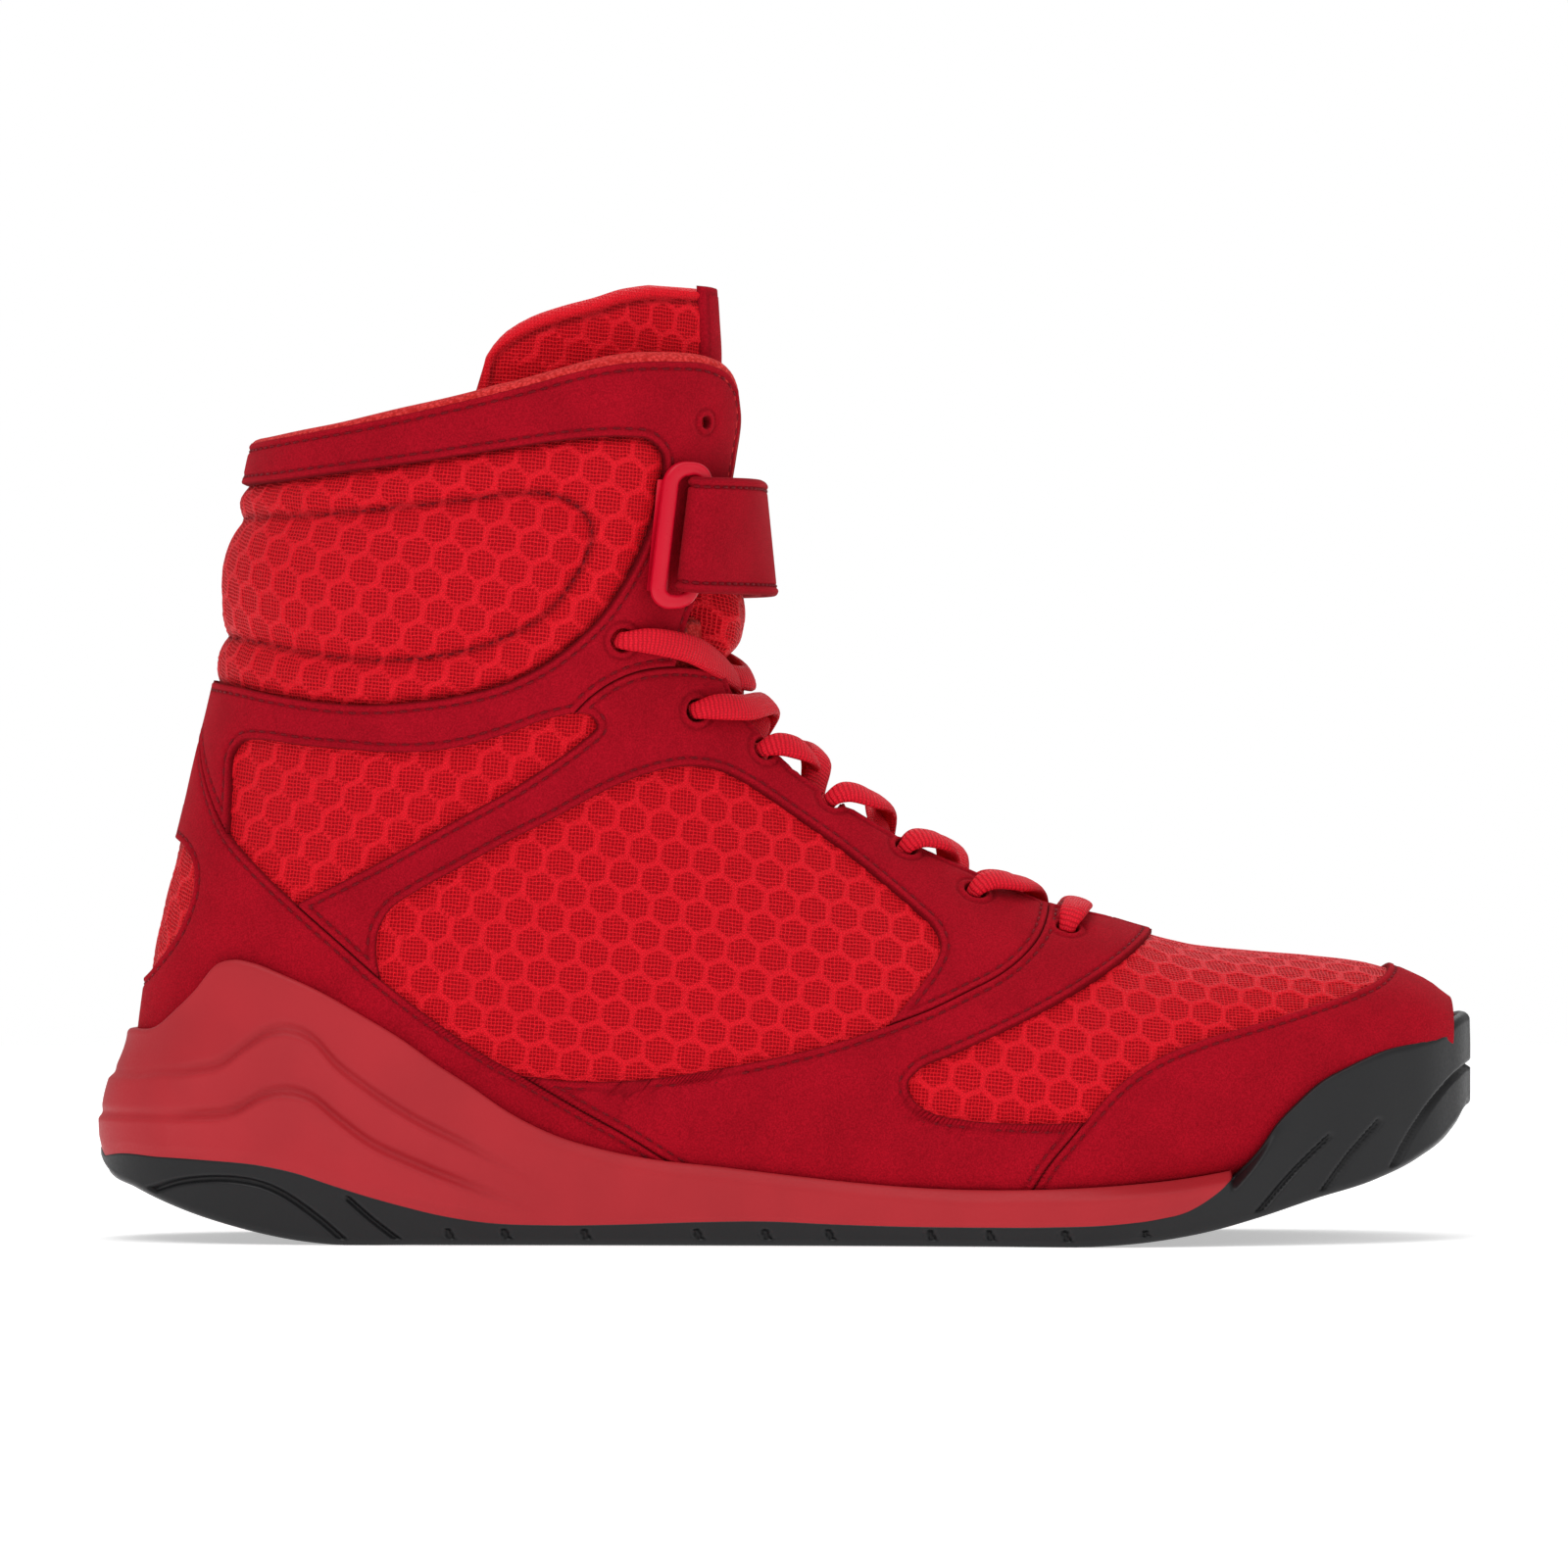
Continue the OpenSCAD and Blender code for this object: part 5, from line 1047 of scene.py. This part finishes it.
def sole_pieces():
    s = Sole()
    ground, rubber = GROUND.at(s.edge_x), np.maximum(RUBBER_TOP.at(s.edge_x), GROUND.at(s.edge_x) + 3)
    rows, groove = [], []

    def under(r):
        return GROUND.at(s.at(r)[:, 0])

    for k in (0.04, 0.3, 0.6, 0.85):
        rows.append((s.outer * k, under(s.outer * k)))
    for k in (4, 2.6, 1.7):
        rows.append((s.outer - k, under(s.outer - k) + (0.12 if k < 2 else 0)))
    for k in (70, 50, 30, 10):
        e = math.radians(k)
        rows.append((s.outer - 1.35 + 1.35 * math.cos(e), ground + 1.45 - 1.4 * math.sin(e)))
    n = 46                          # rows up the rubber's face
    for k in range(n + 1):
        z = ground + 1.5 + (rubber - 0.6 - 1.1 * s.toeward - ground - 1.5) * k / n
        depth = groove_depth(s.edge_x, z) * np.minimum(1, 0.25 + np.abs(z - rubber) / 2)
        rows.append((s.side(z) - depth, z))
    r = 0.6 + 1.1 * s.toeward       # round of the rubber's top edge
    for k in (15, 40, 65, 90):
        e = math.radians(k)
        rows.append((s.side(rubber - r) - r * (1 - math.cos(e)), rubber - r + r * math.sin(e)))
    rows.append((s.side(rubber) - RIM_T, rubber + 0.02))
    rows.append((s.side(rubber) - RIM_T - 1.2, rubber - 1.2))
    rows.append((s.side(rubber) - 5.5, np.maximum(np.minimum(rubber - 1.5, ground + 3.4), ground + 1.4)))
    points = s.shell(rows)
    cols = len(s.x)
    outsole = make_mesh("outsole_rubber", points.reshape(-1, 3), grid_faces(len(rows), cols, True)[:, ::-1],
                        BLACK_RUBBER)
    rows = []
    top = np.maximum(FOAM_TOP.at(s.edge_x), rubber + 0.4)
    low = rubber - 0.3
    n = 64                          # rows up the foam's face
    for k in range(n + 1):
        z = low + (top - 0.9 - low) * k / n
        out = np.zeros(len(z))
        for i, ledge in enumerate(LEDGES):
            d = ledge.at(s.edge_x) - z
            fade = ramp(s.edge_x, -139, -124) * (1 - ramp(s.edge_x, -78, -52)) * (1 if i else 0.9)
            fade = np.maximum(fade, 0.35 * (s.edge_x < -110))
            out += fade * (1.7 * ramp(d, -0.4, 1.0) * np.exp(-np.maximum(d, 0) / 7)
                           - 0.8 * hump(d, -0.8, 0.9))
        out *= ramp(z, rubber, rubber + 2.5) * (1 - ramp(z, top - 5, top - 2))
        hide = 2.6 * ramp(s.edge_x, 93.5, 95.2)     # the foam sinks inside the rubber's wrap
        rows.append((s.side(z) + out - 0.12 * (1 - ramp(z, rubber - 0.2, rubber + 0.7)) - hide, z))
    for inward, down in ((0.22, 0.42), (0.6, 0.1), (1.1, 0.0), (1.7, 0.15), (1.95, 0.9), (2.0, 4.0)):
        rows.append((s.side(top) - inward - hide, top - down))
    points = s.shell(rows)
    faces = grid_faces(len(rows), cols, True)[:, ::-1]
    flat = points.reshape(-1, 3)
    keep = np.tile(s.edge_x < 96.5, len(rows))
    faces, flat = keep_faces(faces, keep, flat)
    midsole = make_mesh("midsole_foam_shell", flat, faces, MIDSOLE_FOAM)
    return outsole, midsole


OUTSOLE, MIDSOLE = sole_pieces()
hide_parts("outsole")
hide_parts("midsole")


# ---------------------------------------------------------------- lining, rim and tongue

def front_turn(a, inset):
    """The turn where the collar's front edge, moved back, crosses each plane, then the throat's edge."""
    edge = at(FRAME_FRONT - [inset, 0], MEDIAL)
    edge = edge[np.argsort(edge[:, 0])]
    return np.where(a < 201.5, np.interp(a, edge[:, 0], edge[:, 1]), throat_turn(a) + 0.5)


def lining():
    """The boot's inner face: behind and beside the throat, then forward of it."""
    top = at(FRAME_TOP - [0, 1.5], MEDIAL)[::-1]
    top = top[np.argsort(top[:, 1])]
    n, m = 220, 110
    u = np.linspace(0, 1, n)
    edge = front_turn(np.array([183.0]), 1.5)[0]
    top_t = edge + (360 - 2 * edge) * u
    start = np.interp(np.minimum(top_t, 360 - top_t), top[:, 1], top[:, 0])
    v = np.linspace(0, 1, m)[:, None]
    a = start + (238.4 - start) * v
    te = front_turn(a, 1.5)
    t = te + (360 - 2 * te) * u
    points = on_last(a, t, -lining_depth(a, t) + 0.35)
    rear = make_mesh("lining_cloth", points.reshape(-1, 3), grid_faces(m, n), CORAL_TERRY)
    a, t = np.meshgrid(np.linspace(238.2, 267.8, 70), np.linspace(0, 360, 200), indexing="ij")
    points = on_last(a, t, -lining_depth(a, t) + 0.35)
    front = make_mesh("toe_lining_cloth", points.reshape(-1, 3), grid_faces(70, 200), FOOT_LINING)
    return rear, front


def tube(path, across, half_a, half_b, n=18, power=2.0, closed=False):
    """A long smooth piece with an oval section. across is the direction of half_a."""
    path = np.asarray(path, float)
    if closed:
        along = unit(np.roll(path, -1, 0) - np.roll(path, 1, 0))
    else:
        along = unit(np.gradient(path, axis=0))
    b = unit(np.cross(along, across))
    c = unit(np.cross(b, along))
    e = np.linspace(0, 2 * np.pi, n, endpoint=False)
    ca, cb = (np.sign(f(e)) * np.abs(f(e)) ** (2 / power) for f in (np.cos, np.sin))
    half_a, half_b = np.broadcast_to(half_a, len(path)), np.broadcast_to(half_b, len(path))
    points = (path[:, None] + (half_a[:, None] * ca)[..., None] * c[:, None]
              + (half_b[:, None] * cb)[..., None] * b[:, None])
    s = run(path)
    uv = np.stack([np.broadcast_to(cb * half_b[:, None], (len(path), n)),
                   np.broadcast_to(s[:, None], (len(path), n))], -1)
    faces = grid_faces(len(path), n, True).tolist()
    if closed:
        last = (len(path) - 1) * n
        faces += [[last + k, last + (k + 1) % n, (k + 1) % n, k] for k in range(n)]
    else:
        faces += [list(range(n))[::-1], [(len(path) - 1) * n + k for k in range(n)]]
    return points.reshape(-1, 3), faces, uv.reshape(-1, 2)


def rim_roll():
    """The padded roll along the collar's top and down its front edges."""
    top = at(FRAME_TOP - [0, 0.6], MEDIAL)
    front = at(FRAME_FRONT - [0.2, 0], MEDIAL)
    half = np.concatenate([top[top[:, 1] < 172], front[(front[:, 0] < 200)][1:]])[::-1]
    path = np.concatenate([half, behind(half)])
    spacing = 1.4
    path = resample(path, spacing)
    for _ in range(4):
        path[1:-1] = (path[:-2] + 2 * path[1:-1] + path[2:]) / 4
    depth = lining_depth(path[:, 0], path[:, 1]) / 2
    s = np.arange(len(path)) * spacing
    puff = 1 + 0.05 * np.sin(s / 9.0) + 0.03 * np.sin(s / 4.1)
    centre = on_last(path[:, 0], path[:, 1], 0.55 - depth)
    taper = np.clip(np.minimum(s, s[::-1]) / 6, 0.25, 1)
    points, faces, uv = tube(centre, last_normal(path[:, 0], path[:, 1]), (depth + 0.55) * taper,
                             2.45 * puff * taper, n=22, power=2.3)
    return make_mesh("collar_rim_roll", points, faces, CORAL_TERRY, uv)


# angle, height of the tongue's outer face over the last, turn where it has sunk under the collar
TONGUE_FACE = Table([[176, -8, 22], [186, -7.5, 22], [192, -6.5, 24], [196, -3, 28], [200, 2.8, 34],
                     [202.5, 3.2, 32], [204, 1.2, 30], [205.2, -4.6, 26], [206, -5.2, 24], [208, -5.2, 22],
                     [214, -5.2, 18], [244, -5.2, 18]])
TONGUE_TOP = curve([[-24, 205], [-29, 204.4], [-33, 203.8], [-40, 202], [-48, 200.2], [-55, 198], [-61, 194.6],
                    [-65, 190.5], [-67.4, 185.5], [-68, 182]])
TONGUE_SIDE = curve([[-68, 182], [-62, 158], [-52, 132], [-35, 106], [-5, 85], [30, 68], [58, 60]])


def tongue_face(a, t):
    """Height of the tongue's outer face over the last."""
    s = TONGUE_FACE(a)
    under = -(lining_depth(a, t) + 1.6 + 2.9 * ramp(a, 194, 200))
    return s[..., 1] + (under - s[..., 1]) * ramp(np.abs(t), s[..., 2] / 3, s[..., 2])


def tongue():
    """The tongue as one pad: mesh outside, looped lining inside, and a rolled edge."""
    top = at(TONGUE_TOP, MEDIAL)
    side = at(TONGUE_SIDE, MEDIAL)
    top = np.concatenate([[[fan_angle(-22.0, 205.0), 0.0]], top])
    side = side[np.argsort(side[:, 0])]
    rows, cols = 330, 150
    u = np.linspace(-1, 1, cols)
    v = np.linspace(0, 1, rows)[:, None]
    start_t = side[0, 1] * np.abs(u)
    start = np.interp(start_t, np.sort(top[:, 1]), top[np.argsort(top[:, 1]), 0])
    a = start + (237.2 - start) * v
    wide = np.interp(a, side[:, 0], side[:, 1])
    t = wide * u
    thick = 5.6 - 2.2 * ramp(a, 214, 234)
    arc = np.abs(arc_length(a, np.abs(t)) - arc_length(a, wide))
    drop = (a - start) * FLAT[0]
    d = np.minimum(arc, drop)
    pillow = rounded(d, 2.6)
    bead = 0.35 * hump(d, 1.4, 0.9) - 0.5 * hump(d, 3.6, 0.7)
    middle = tongue_face(a, t) - thick / 2
    uv = unrolled(a, t)
    border = cells(uv.reshape(-1, 2)).reshape(a.shape)
    relief = (0.26 * (1 - ramp(border, 0.35, 1.1))) * ramp(d, 3.8, 4.6)
    puff = 0.35 * np.sin(uv[..., 0] / 6.1) * np.sin(uv[..., 1] / 7.3) * ramp(d, 3, 9)
    outer = on_last(a, t, middle + thick / 2 * pillow + bead + relief + puff)
    inner = on_last(a, t, middle - thick / 2 * pillow)
    faces = grid_faces(rows, cols)
    # its seam distance is zero in the groove inside the rolled edge, where the mesh shader paints shade
    cover = make_mesh("tongue_mesh_pad", outer.reshape(-1, 3), faces[:, ::-1], RED_MESH, uv.reshape(-1, 2),
                      {"cell": np.where(d < 3.4, 0.0, border).ravel(), "seam": (d - 3.5).ravel()})
    back = make_mesh("tongue_inner_cloth", inner.reshape(-1, 3), faces, CORAL_TERRY, uv.reshape(-1, 2))
    return cover, back


def tongue_patch():
    """The suede patch at the top of the tongue's front."""
    rows, cols = 90, 60
    au, tu = np.meshgrid(np.linspace(0, 1, rows), np.linspace(-1, 1, cols), indexing="ij")
    low, high = fan_angle(-20.0, 176.0), fan_angle(-21.5, 205.3)
    pa = high + (low - high) * au
    pt = tu * (33 - 4 * ramp(au, 0.8, 1.0))
    edge = np.minimum(np.minimum(au * 90 * 0.33, (1 - np.abs(tu)) * 14), (1 - au) * 30)
    height = tongue_face(pa, pt) + 0.2 + rounded(edge, 0.7) - 0.5
    points = on_last(pa, pt, height)
    # the suede shader paints shade along the patch's edges from its edge distance
    return make_mesh("tongue_patch_suede", points.reshape(-1, 3), grid_faces(rows, cols)[:, ::-1], RED_SUEDE,
                     unrolled(pa.ravel(), pt.ravel()), {"edge": edge.ravel() + 0.1})


REAR_LINING, TOE_LINING = lining()
RIM = rim_roll()
COVER, TONGUE_BACK = tongue()
PATCH = tongue_patch()
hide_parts("collar_lining", "quarter_lining_lateral", "quarter_lining_medial")
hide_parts("vamp_lining", "toe_puff")
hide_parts("collar_rim")
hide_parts("tongue_cover", "tongue_foam")
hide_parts("tongue_lining")
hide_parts("tongue_patch")


# ---------------------------------------------------------------- lace, guide and strap

def through_places(key, values, step_mm, positions):
    """Rows of numbers along a path, evenly spaced, from a smooth curve through them."""
    table = Table(np.column_stack([key, positions, values]))
    fine = table(np.linspace(key[0], key[-1], 6000))[:, 1:]
    s = run(fine[:, :3])
    return read_rows(np.linspace(0, s[-1], int(s[-1] / step_mm)), s, fine)


def lace():
    """One lace, from the ankle eyelet down one side, across below, and up the other side."""
    w, over_d, under_d = 3.0, 3.1, -4.45    # half width, and its height over the last outside and inside
    step = 0.62
    rows = [locate(np.array([x]), np.array([z]), MEDIAL) for x, z in [ANKLE_EYELET] + EYELETS]
    rows = [(float(a[0]), float(t[0])) for a, t in rows]

    def passage(k, side, lift):
        a, t = rows[k]
        below = rows[k + 1][0] if k < 6 else a
        above = rows[max(k - 1, 0)][0]
        bridge = [[206.4 if k == 0 else (a + below) / 2, 0, lift, w]] if k < 6 else []
        down = [[a + 0.3 * (below - a), side * t * 0.66, over_d + 0.5, w],
                [a + 0.06 * (below - a), side * t * 0.9, over_d + 0.3, w - 0.3], [a, side * t, 1.5, 1.9]]
        if k:
            back = [[a, side * t * 0.98, under_d + 1.2, 1.7], [a, side * t * 0.86, under_d, w],
                    [a + 0.25 * (above - a), side * t * 0.6, under_d + 0.3, w]]
        else:
            back = [[a, side * t * 1.01, -float(lining_depth(a, t)) - 0.6, 1.6]]
            back += [[a + 0.6 * i, side * (t + 5 * i), -float(lining_depth(a, t + 5 * i)) - 2.2, w]
                     for i in (1, 2, 3, 4)]
        return bridge + down + back

    def half(side, lift):
        return [q for k in range(6, -1, -1) for q in passage(k, side if k % 2 == 0 else -side, lift)]

    places = half(LATERAL, -1.45)[::-1] + [[rows[6][0], 0, 2.2, w]] + half(MEDIAL, 1.45)
    q = np.array(places, float)
    points, normals = on_last(q[:, 0], q[:, 1], q[:, 2]), last_normal(q[:, 0], q[:, 1])
    chord = np.linalg.norm(np.diff(points, axis=0), axis=1)
    key = np.concatenate([[0], np.cumsum(chord ** 0.6)])
    path = through_places(key, np.column_stack([normals, q[:, 3]]), step, points)
    puff = 1 + 0.04 * np.sin(np.arange(len(path)) * step / 3.7)
    points, faces, uv = tube(path[:, :3], unit(path[:, 3:6]), 1.2 * puff, np.clip(path[:, 6], 1.5, 3.05),
                             power=2.3)
    return make_mesh("woven_lace", points, faces, LACE_WEAVE, uv)


FRONT_BAR, REAR_BAR = np.array([-19.2, -35.2, 151.2]), np.array([-26.6, -37.4, 151.2])
LEAN = unit(np.array([2.9, 0, 24.0]))
GUIDE_HALF, BAR_R, STRAP_LOW, STRAP_W, STRAP_T = 14.3, 1.5, 139.2, 24.0, 1.8
STRAP_SEAM = 1.75               # how far inside the strap's edges its seams lie
# turn, offset of the flap's outer face, offset of the base's
STRAP_FACES = Table([[-48, 8.8, 4.1], [-38, 8.9, 4.1], [-30, 8.9, 4.9], [-15, 9, 5.7], [0, 9, 5.7],
                     [20, 8.6, 5.3], [45, 7.6, 4.2], [75, 7.4, 4.1]])


def guide_ring():
    """The moulded loop that the strap turns round, as a rounded oblong."""
    across = FRONT_BAR - REAR_BAR
    half = np.linalg.norm(across) / 2
    across = unit(across)
    middle = (FRONT_BAR + REAR_BAR) / 2
    r = 3.3                         # round of its corners
    path = []
    for k, (sx, sz) in enumerate(((1, 1), (-1, 1), (-1, -1), (1, -1))):
        for e in np.radians(np.arange(0, 91, 9) + 90 * k):
            path.append([sx * (half - r) + r * math.cos(e), sz * (GUIDE_HALF - r) + r * math.sin(e)])
    path = np.array(path)
    closed = np.concatenate([path, path[:1]])
    s = run(closed)
    path = read_rows(np.linspace(0, s[-1], 160, endpoint=False), s, closed)
    points = middle + path[:, :1] * across + path[:, 1:] * LEAN
    normal = np.cross(across, LEAN)
    rear = ramp(-path[:, 0], -1, half - 0.5)
    points, faces, uv = tube(points, np.tile(normal, (len(points), 1)), 1.3, 1.45 + 0.3 * rear, n=20,
                             power=2.7, closed=True)
    return make_mesh("guide_ring", points, faces, GUIDE_PLASTIC, uv)


def strap_point(e, d, v):
    """A point of the strap's way round the ankle: turn, offset, and share of its width."""
    e, d, v = np.broadcast_arrays(np.asarray(e, float), np.asarray(d, float), np.asarray(v, float))
    follow = ramp(e, -32, -5)
    turn = np.radians(e)
    slant = (1.2 * np.cos(turn) * follow - 1.4 * (1 - follow)) * (1 - 2 * v)
    c = np.maximum(np.cos(turn), 0) ** (2 / 2.8)
    y = np.abs(np.sin(turn)) ** (2 / 2.8) * np.sign(turn)
    n = unit(np.stack([c ** 1.8 / 53.7, np.sign(turn) * np.abs(y) ** 1.8 / 42], -1))
    return np.stack([-66.4 + 53.7 * c + d * n[..., 0] + slant, 42 * y + d * n[..., 1],
                     STRAP_LOW + STRAP_W * v], -1)


def strap_section():
    """The strap's cross-section: (along the width, height over the inner face), with turned edges."""
    s = np.concatenate([np.linspace(0.35, 3, 14), np.linspace(4, STRAP_W - 4, 12),
                        np.linspace(STRAP_W - 3, STRAP_W - 0.35, 14)])
    d = np.minimum(s, STRAP_W - s)
    outer = STRAP_T + 0.28 * hump(d, 0.75, 0.5) - 0.42 * hump(d, STRAP_SEAM, 0.36)
    end = np.radians(np.arange(60, -61, -20))
    right = np.stack([STRAP_W - 0.5 + 0.85 * np.cos(end), STRAP_T / 2 + 0.06 + 0.95 * np.sin(end)], 1)
    left = np.stack([0.5 - 0.85 * np.cos(end), STRAP_T / 2 + 0.06 + 0.95 * np.sin(end)], 1)[::-1]
    inner = np.stack([np.linspace(STRAP_W - 0.5, 0.5, 8), np.zeros(8)], 1)
    return np.concatenate([np.stack([s, outer], 1), right, inner, left])


def strap_piece(name, stations, body):
    """A strap from stations of four corners: inner low, inner top, outer low, outer top."""
    corners = np.array(stations)
    section = strap_section()
    v, h = section[:, 0] / STRAP_W, section[:, 1] / STRAP_T
    low = corners[:, None, 0] * (1 - h)[None, :, None] + corners[:, None, 2] * h[None, :, None]
    top = corners[:, None, 1] * (1 - h)[None, :, None] + corners[:, None, 3] * h[None, :, None]
    points = low * (1 - v)[None, :, None] + top * v[None, :, None]
    middle = points.mean(1, keepdims=True)
    # the far end tapers to a rounded edge
    for i, keep in ((1, 0.55), (2, 0.8)):
        face = (corners[-i, 2] + corners[-i, 3] + corners[-i, 0] + corners[-i, 1]) / 4
        out = unit(corners[-i, 2] - corners[-i, 0])
        off = (points[-i] - face) @ out
        points[-i] -= (1 - keep) * off[:, None] * out
    n, m = points.shape[:2]
    faces = grid_faces(n, m, True).tolist() + [list(range(m))[::-1], [(n - 1) * m + k for k in range(m)]]
    length = run(middle[:, 0])
    uv = np.stack([np.broadcast_to(section[:, 0], (n, m)), np.broadcast_to(length[:, None], (n, m))], -1)
    # from this distance the suede shader paints shade along the strap's turned edges and in its seam grooves
    edge = np.minimum(np.minimum(section[:, 0], STRAP_W - section[:, 0]), 9.0)
    edge = np.where(section[:, 1] > 0.5, edge, 3.0)
    obj = make_mesh(name, points.reshape(-1, 3), faces, STRAP_SUEDE, uv.reshape(-1, 2),
                    {"edge": np.tile(np.maximum(edge, 0.25), n)}, body=body)
    for inset in (STRAP_SEAM, STRAP_W - STRAP_SEAM):
        v = inset / STRAP_W
        line = corners[:, 2] * (1 - v) + corners[:, 3] * v
        out = unit(corners[:, 2] - corners[:, 0])
        line = line - 0.12 * out
        along = unit(np.gradient(line, axis=0))
        s = run(line)
        x = np.arange(3, s[-1] - 2, 2.4)
        seams.setdefault(body, []).append((*(read_rows(x, s, q) for q in (line, along, out)), 1.5))
    return obj


def band_stations(turns, face):
    inner = [strap_point(turns, face - STRAP_T, v) for v in (0, 1)]
    outer = [strap_point(turns, face, v) for v in (0, 1)]
    return [list(q) for q in zip(*inner, *outer)]


def strap():
    """The flap, from its loop round the front bar to its end, and the base under it."""
    side = unit(np.cross(LEAN, np.array([1.0, 0, 0])))
    first = np.cross(side, LEAN)
    loop = []
    for phi in np.arange(0, 76, 6):
        e = math.radians(190 + phi)
        way = math.cos(e) * first + math.sin(e) * side
        ends = [FRONT_BAR - LEAN * STRAP_W / 2, FRONT_BAR + LEAN * STRAP_W / 2]
        loop.append([p + r * way for r in (BAR_R + 0.3, BAR_R + 0.3 + STRAP_T) for p in ends])
    turns = np.concatenate([np.arange(-43, -5, 1.4), np.arange(-5, 62.1, 1.6)])
    flap = np.array(loop + band_stations(turns, STRAP_FACES(turns)[:, 1]))
    n = len(loop)
    for _ in range(3):
        flap[n - 2:n + 4] = (flap[n - 3:n + 3] + 2 * flap[n - 2:n + 4] + flap[n - 1:n + 5]) / 4
    flap = strap_piece("strap_flap_suede", flap, "flap")
    turns = np.arange(-37, 72.1, 1.6)
    base = strap_piece("strap_base_suede", band_stations(turns, STRAP_FACES(turns)[:, 2]), "boot")
    return flap, base


LACE = lace()
RING = guide_ring()
FLAP, BASE = strap()
for piece, node, name in ((LACE, "lace", "lace"), (RING, "strap_guide", "guide"), (FLAP, "strap_flap", "suede"),
                          (BASE, "strap_base", "suede")):
    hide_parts(node)


# ---------------------------------------------------------------- stitches

THREAD_R = 0.26


def stitches(body, rows):
    """Every stitch is a short capsule of thread that lies along its seam."""
    p, along, out, length = (np.concatenate(q) for q in zip(*[
        (r[0], r[1], r[2], np.full(len(r[0]), r[3])) for r in rows]))
    out = unit(out - np.sum(out * along, 1)[:, None] * along)
    across = np.cross(along, out)
    stations = [(-0.5, 0.3, -0.14), (-0.42, 0.85, -0.02), (0.0, 1.0, 0.04), (0.42, 0.85, -0.02),
                (0.5, 0.3, -0.14)]      # along, radius and lift of each ring
    e = np.linspace(0, 2 * np.pi, 7)[:-1]
    rings = []
    for x, r, lift in stations:
        centre = p + along * (x * length)[:, None] + out * lift
        rings.append(centre[:, None] + THREAD_R * r * (np.cos(e)[None, :, None] * across[:, None]
                                                       + 0.8 * np.sin(e)[None, :, None] * out[:, None]))
    points = np.stack(rings, 1)
    n = len(e)
    count = n * len(stations)
    one = grid_faces(len(stations), n, True)
    faces = (one[None] + count * np.arange(len(p))[:, None, None]).reshape(-1, 4).tolist()
    for i in range(len(p)):
        faces.append([count * i + k for k in range(n)][::-1])
        faces.append([count * (i + 1) - n + k for k in range(n)])
    one_uv = np.stack([np.repeat([s[0] for s in stations], n), np.tile(e, len(stations))], 1)
    uv = np.tile(one_uv, (len(p), 1))
    obj = make_mesh("stitches_" + body, points.reshape(-1, 3), faces, STITCH_THREAD, uv, body=body)


for body, rows in seams.items():
    stitches(body, rows)

# the CAD's own pieces that stay in view
for names, material in ((("eyelet_stay_lateral", "eyelet_stay_medial"), RED_SUEDE),
                        (("strap_anchor",), GUIDE_PLASTIC), (("aglets",), AGLET_FILM),
                        (("strap_hook_pad", "strap_loop_pad"), HOOK_TAPE),
                        (("strobel_board", "heel_counter"), BOARD_FIBRE), (("sockliner",), SOCK_FOAM)):
    for name in names:
        mesh = bpy.data.objects[name].data
        mesh.materials.clear()
        mesh.materials.append(material)


# ---------------------------------------------------------------- studio

def studio():
    scene = bpy.context.scene
    world = bpy.data.worlds.new("studio")
    world.use_nodes = True
    tree = world.node_tree
    background = tree.nodes["Background"]
    background.inputs["Color"].default_value = (1, 1, 1, 1)
    # soft light on the object, in front of white paper
    seen = tree.nodes.new("ShaderNodeMapRange")
    seen.inputs["To Min"].default_value = 0.42
    tree.links.new(tree.nodes.new("ShaderNodeLightPath").outputs["Is Camera Ray"], seen.inputs["Value"])
    tree.links.new(seen.outputs[0], background.inputs["Strength"])
    scene.world = world
    radius, sides = 1.8, 64
    turns = np.linspace(0, 2 * np.pi, sides, endpoint=False)
    mesh = bpy.data.meshes.new("floor")
    mesh.from_pydata([(radius * math.cos(t), radius * math.sin(t), 0.0) for t in turns], [],
                     [list(range(sides))])
    paper = Shader("paper", (0.93, 0.93, 0.93), 0.9, Specular_IOR_Level=0.1)
    paper.set("Emission Color", (1, 1, 1, 1))
    paper.set("Emission Strength", 0.45)
    mesh.materials.append(paper.material)
    floor = bpy.data.objects.new("floor", mesh)
    scene.collection.objects.link(floor)
    for name, place, size, power in (("key", (-0.5, -1.1, 1.5), 1.2, 9.5), ("fill", (1.1, -1.3, 0.8), 1.4, 4.5),
                                     ("top", (0.0, 0.1, 1.8), 1.6, 9.0), ("back", (0.2, 1.2, 1.1), 1.2, 4.5)):
        light = bpy.data.lights.new(name, "AREA")
        light.shape = "DISK"
        light.size = size
        light.energy = power
        obj = bpy.data.objects.new(name, light)
        obj.location = place
        obj.rotation_euler = (Vector((0, 0, 0.08)) - Vector(place)).to_track_quat("-Z", "Y").to_euler()
        scene.collection.objects.link(obj)
    camera = bpy.data.cameras.new("camera")
    distance, view_width = 2.4, 0.3392
    camera.sensor_width = 36
    camera.lens = camera.sensor_width * distance / view_width
    camera.clip_start = 0.05
    obj = bpy.data.objects.new("camera", camera)
    obj.location = (-0.0011, -distance, 0.0982)
    obj.rotation_euler = (math.radians(90), 0, 0)
    scene.collection.objects.link(obj)
    scene.camera = obj
    scene.view_settings.view_transform = "Standard"


studio()
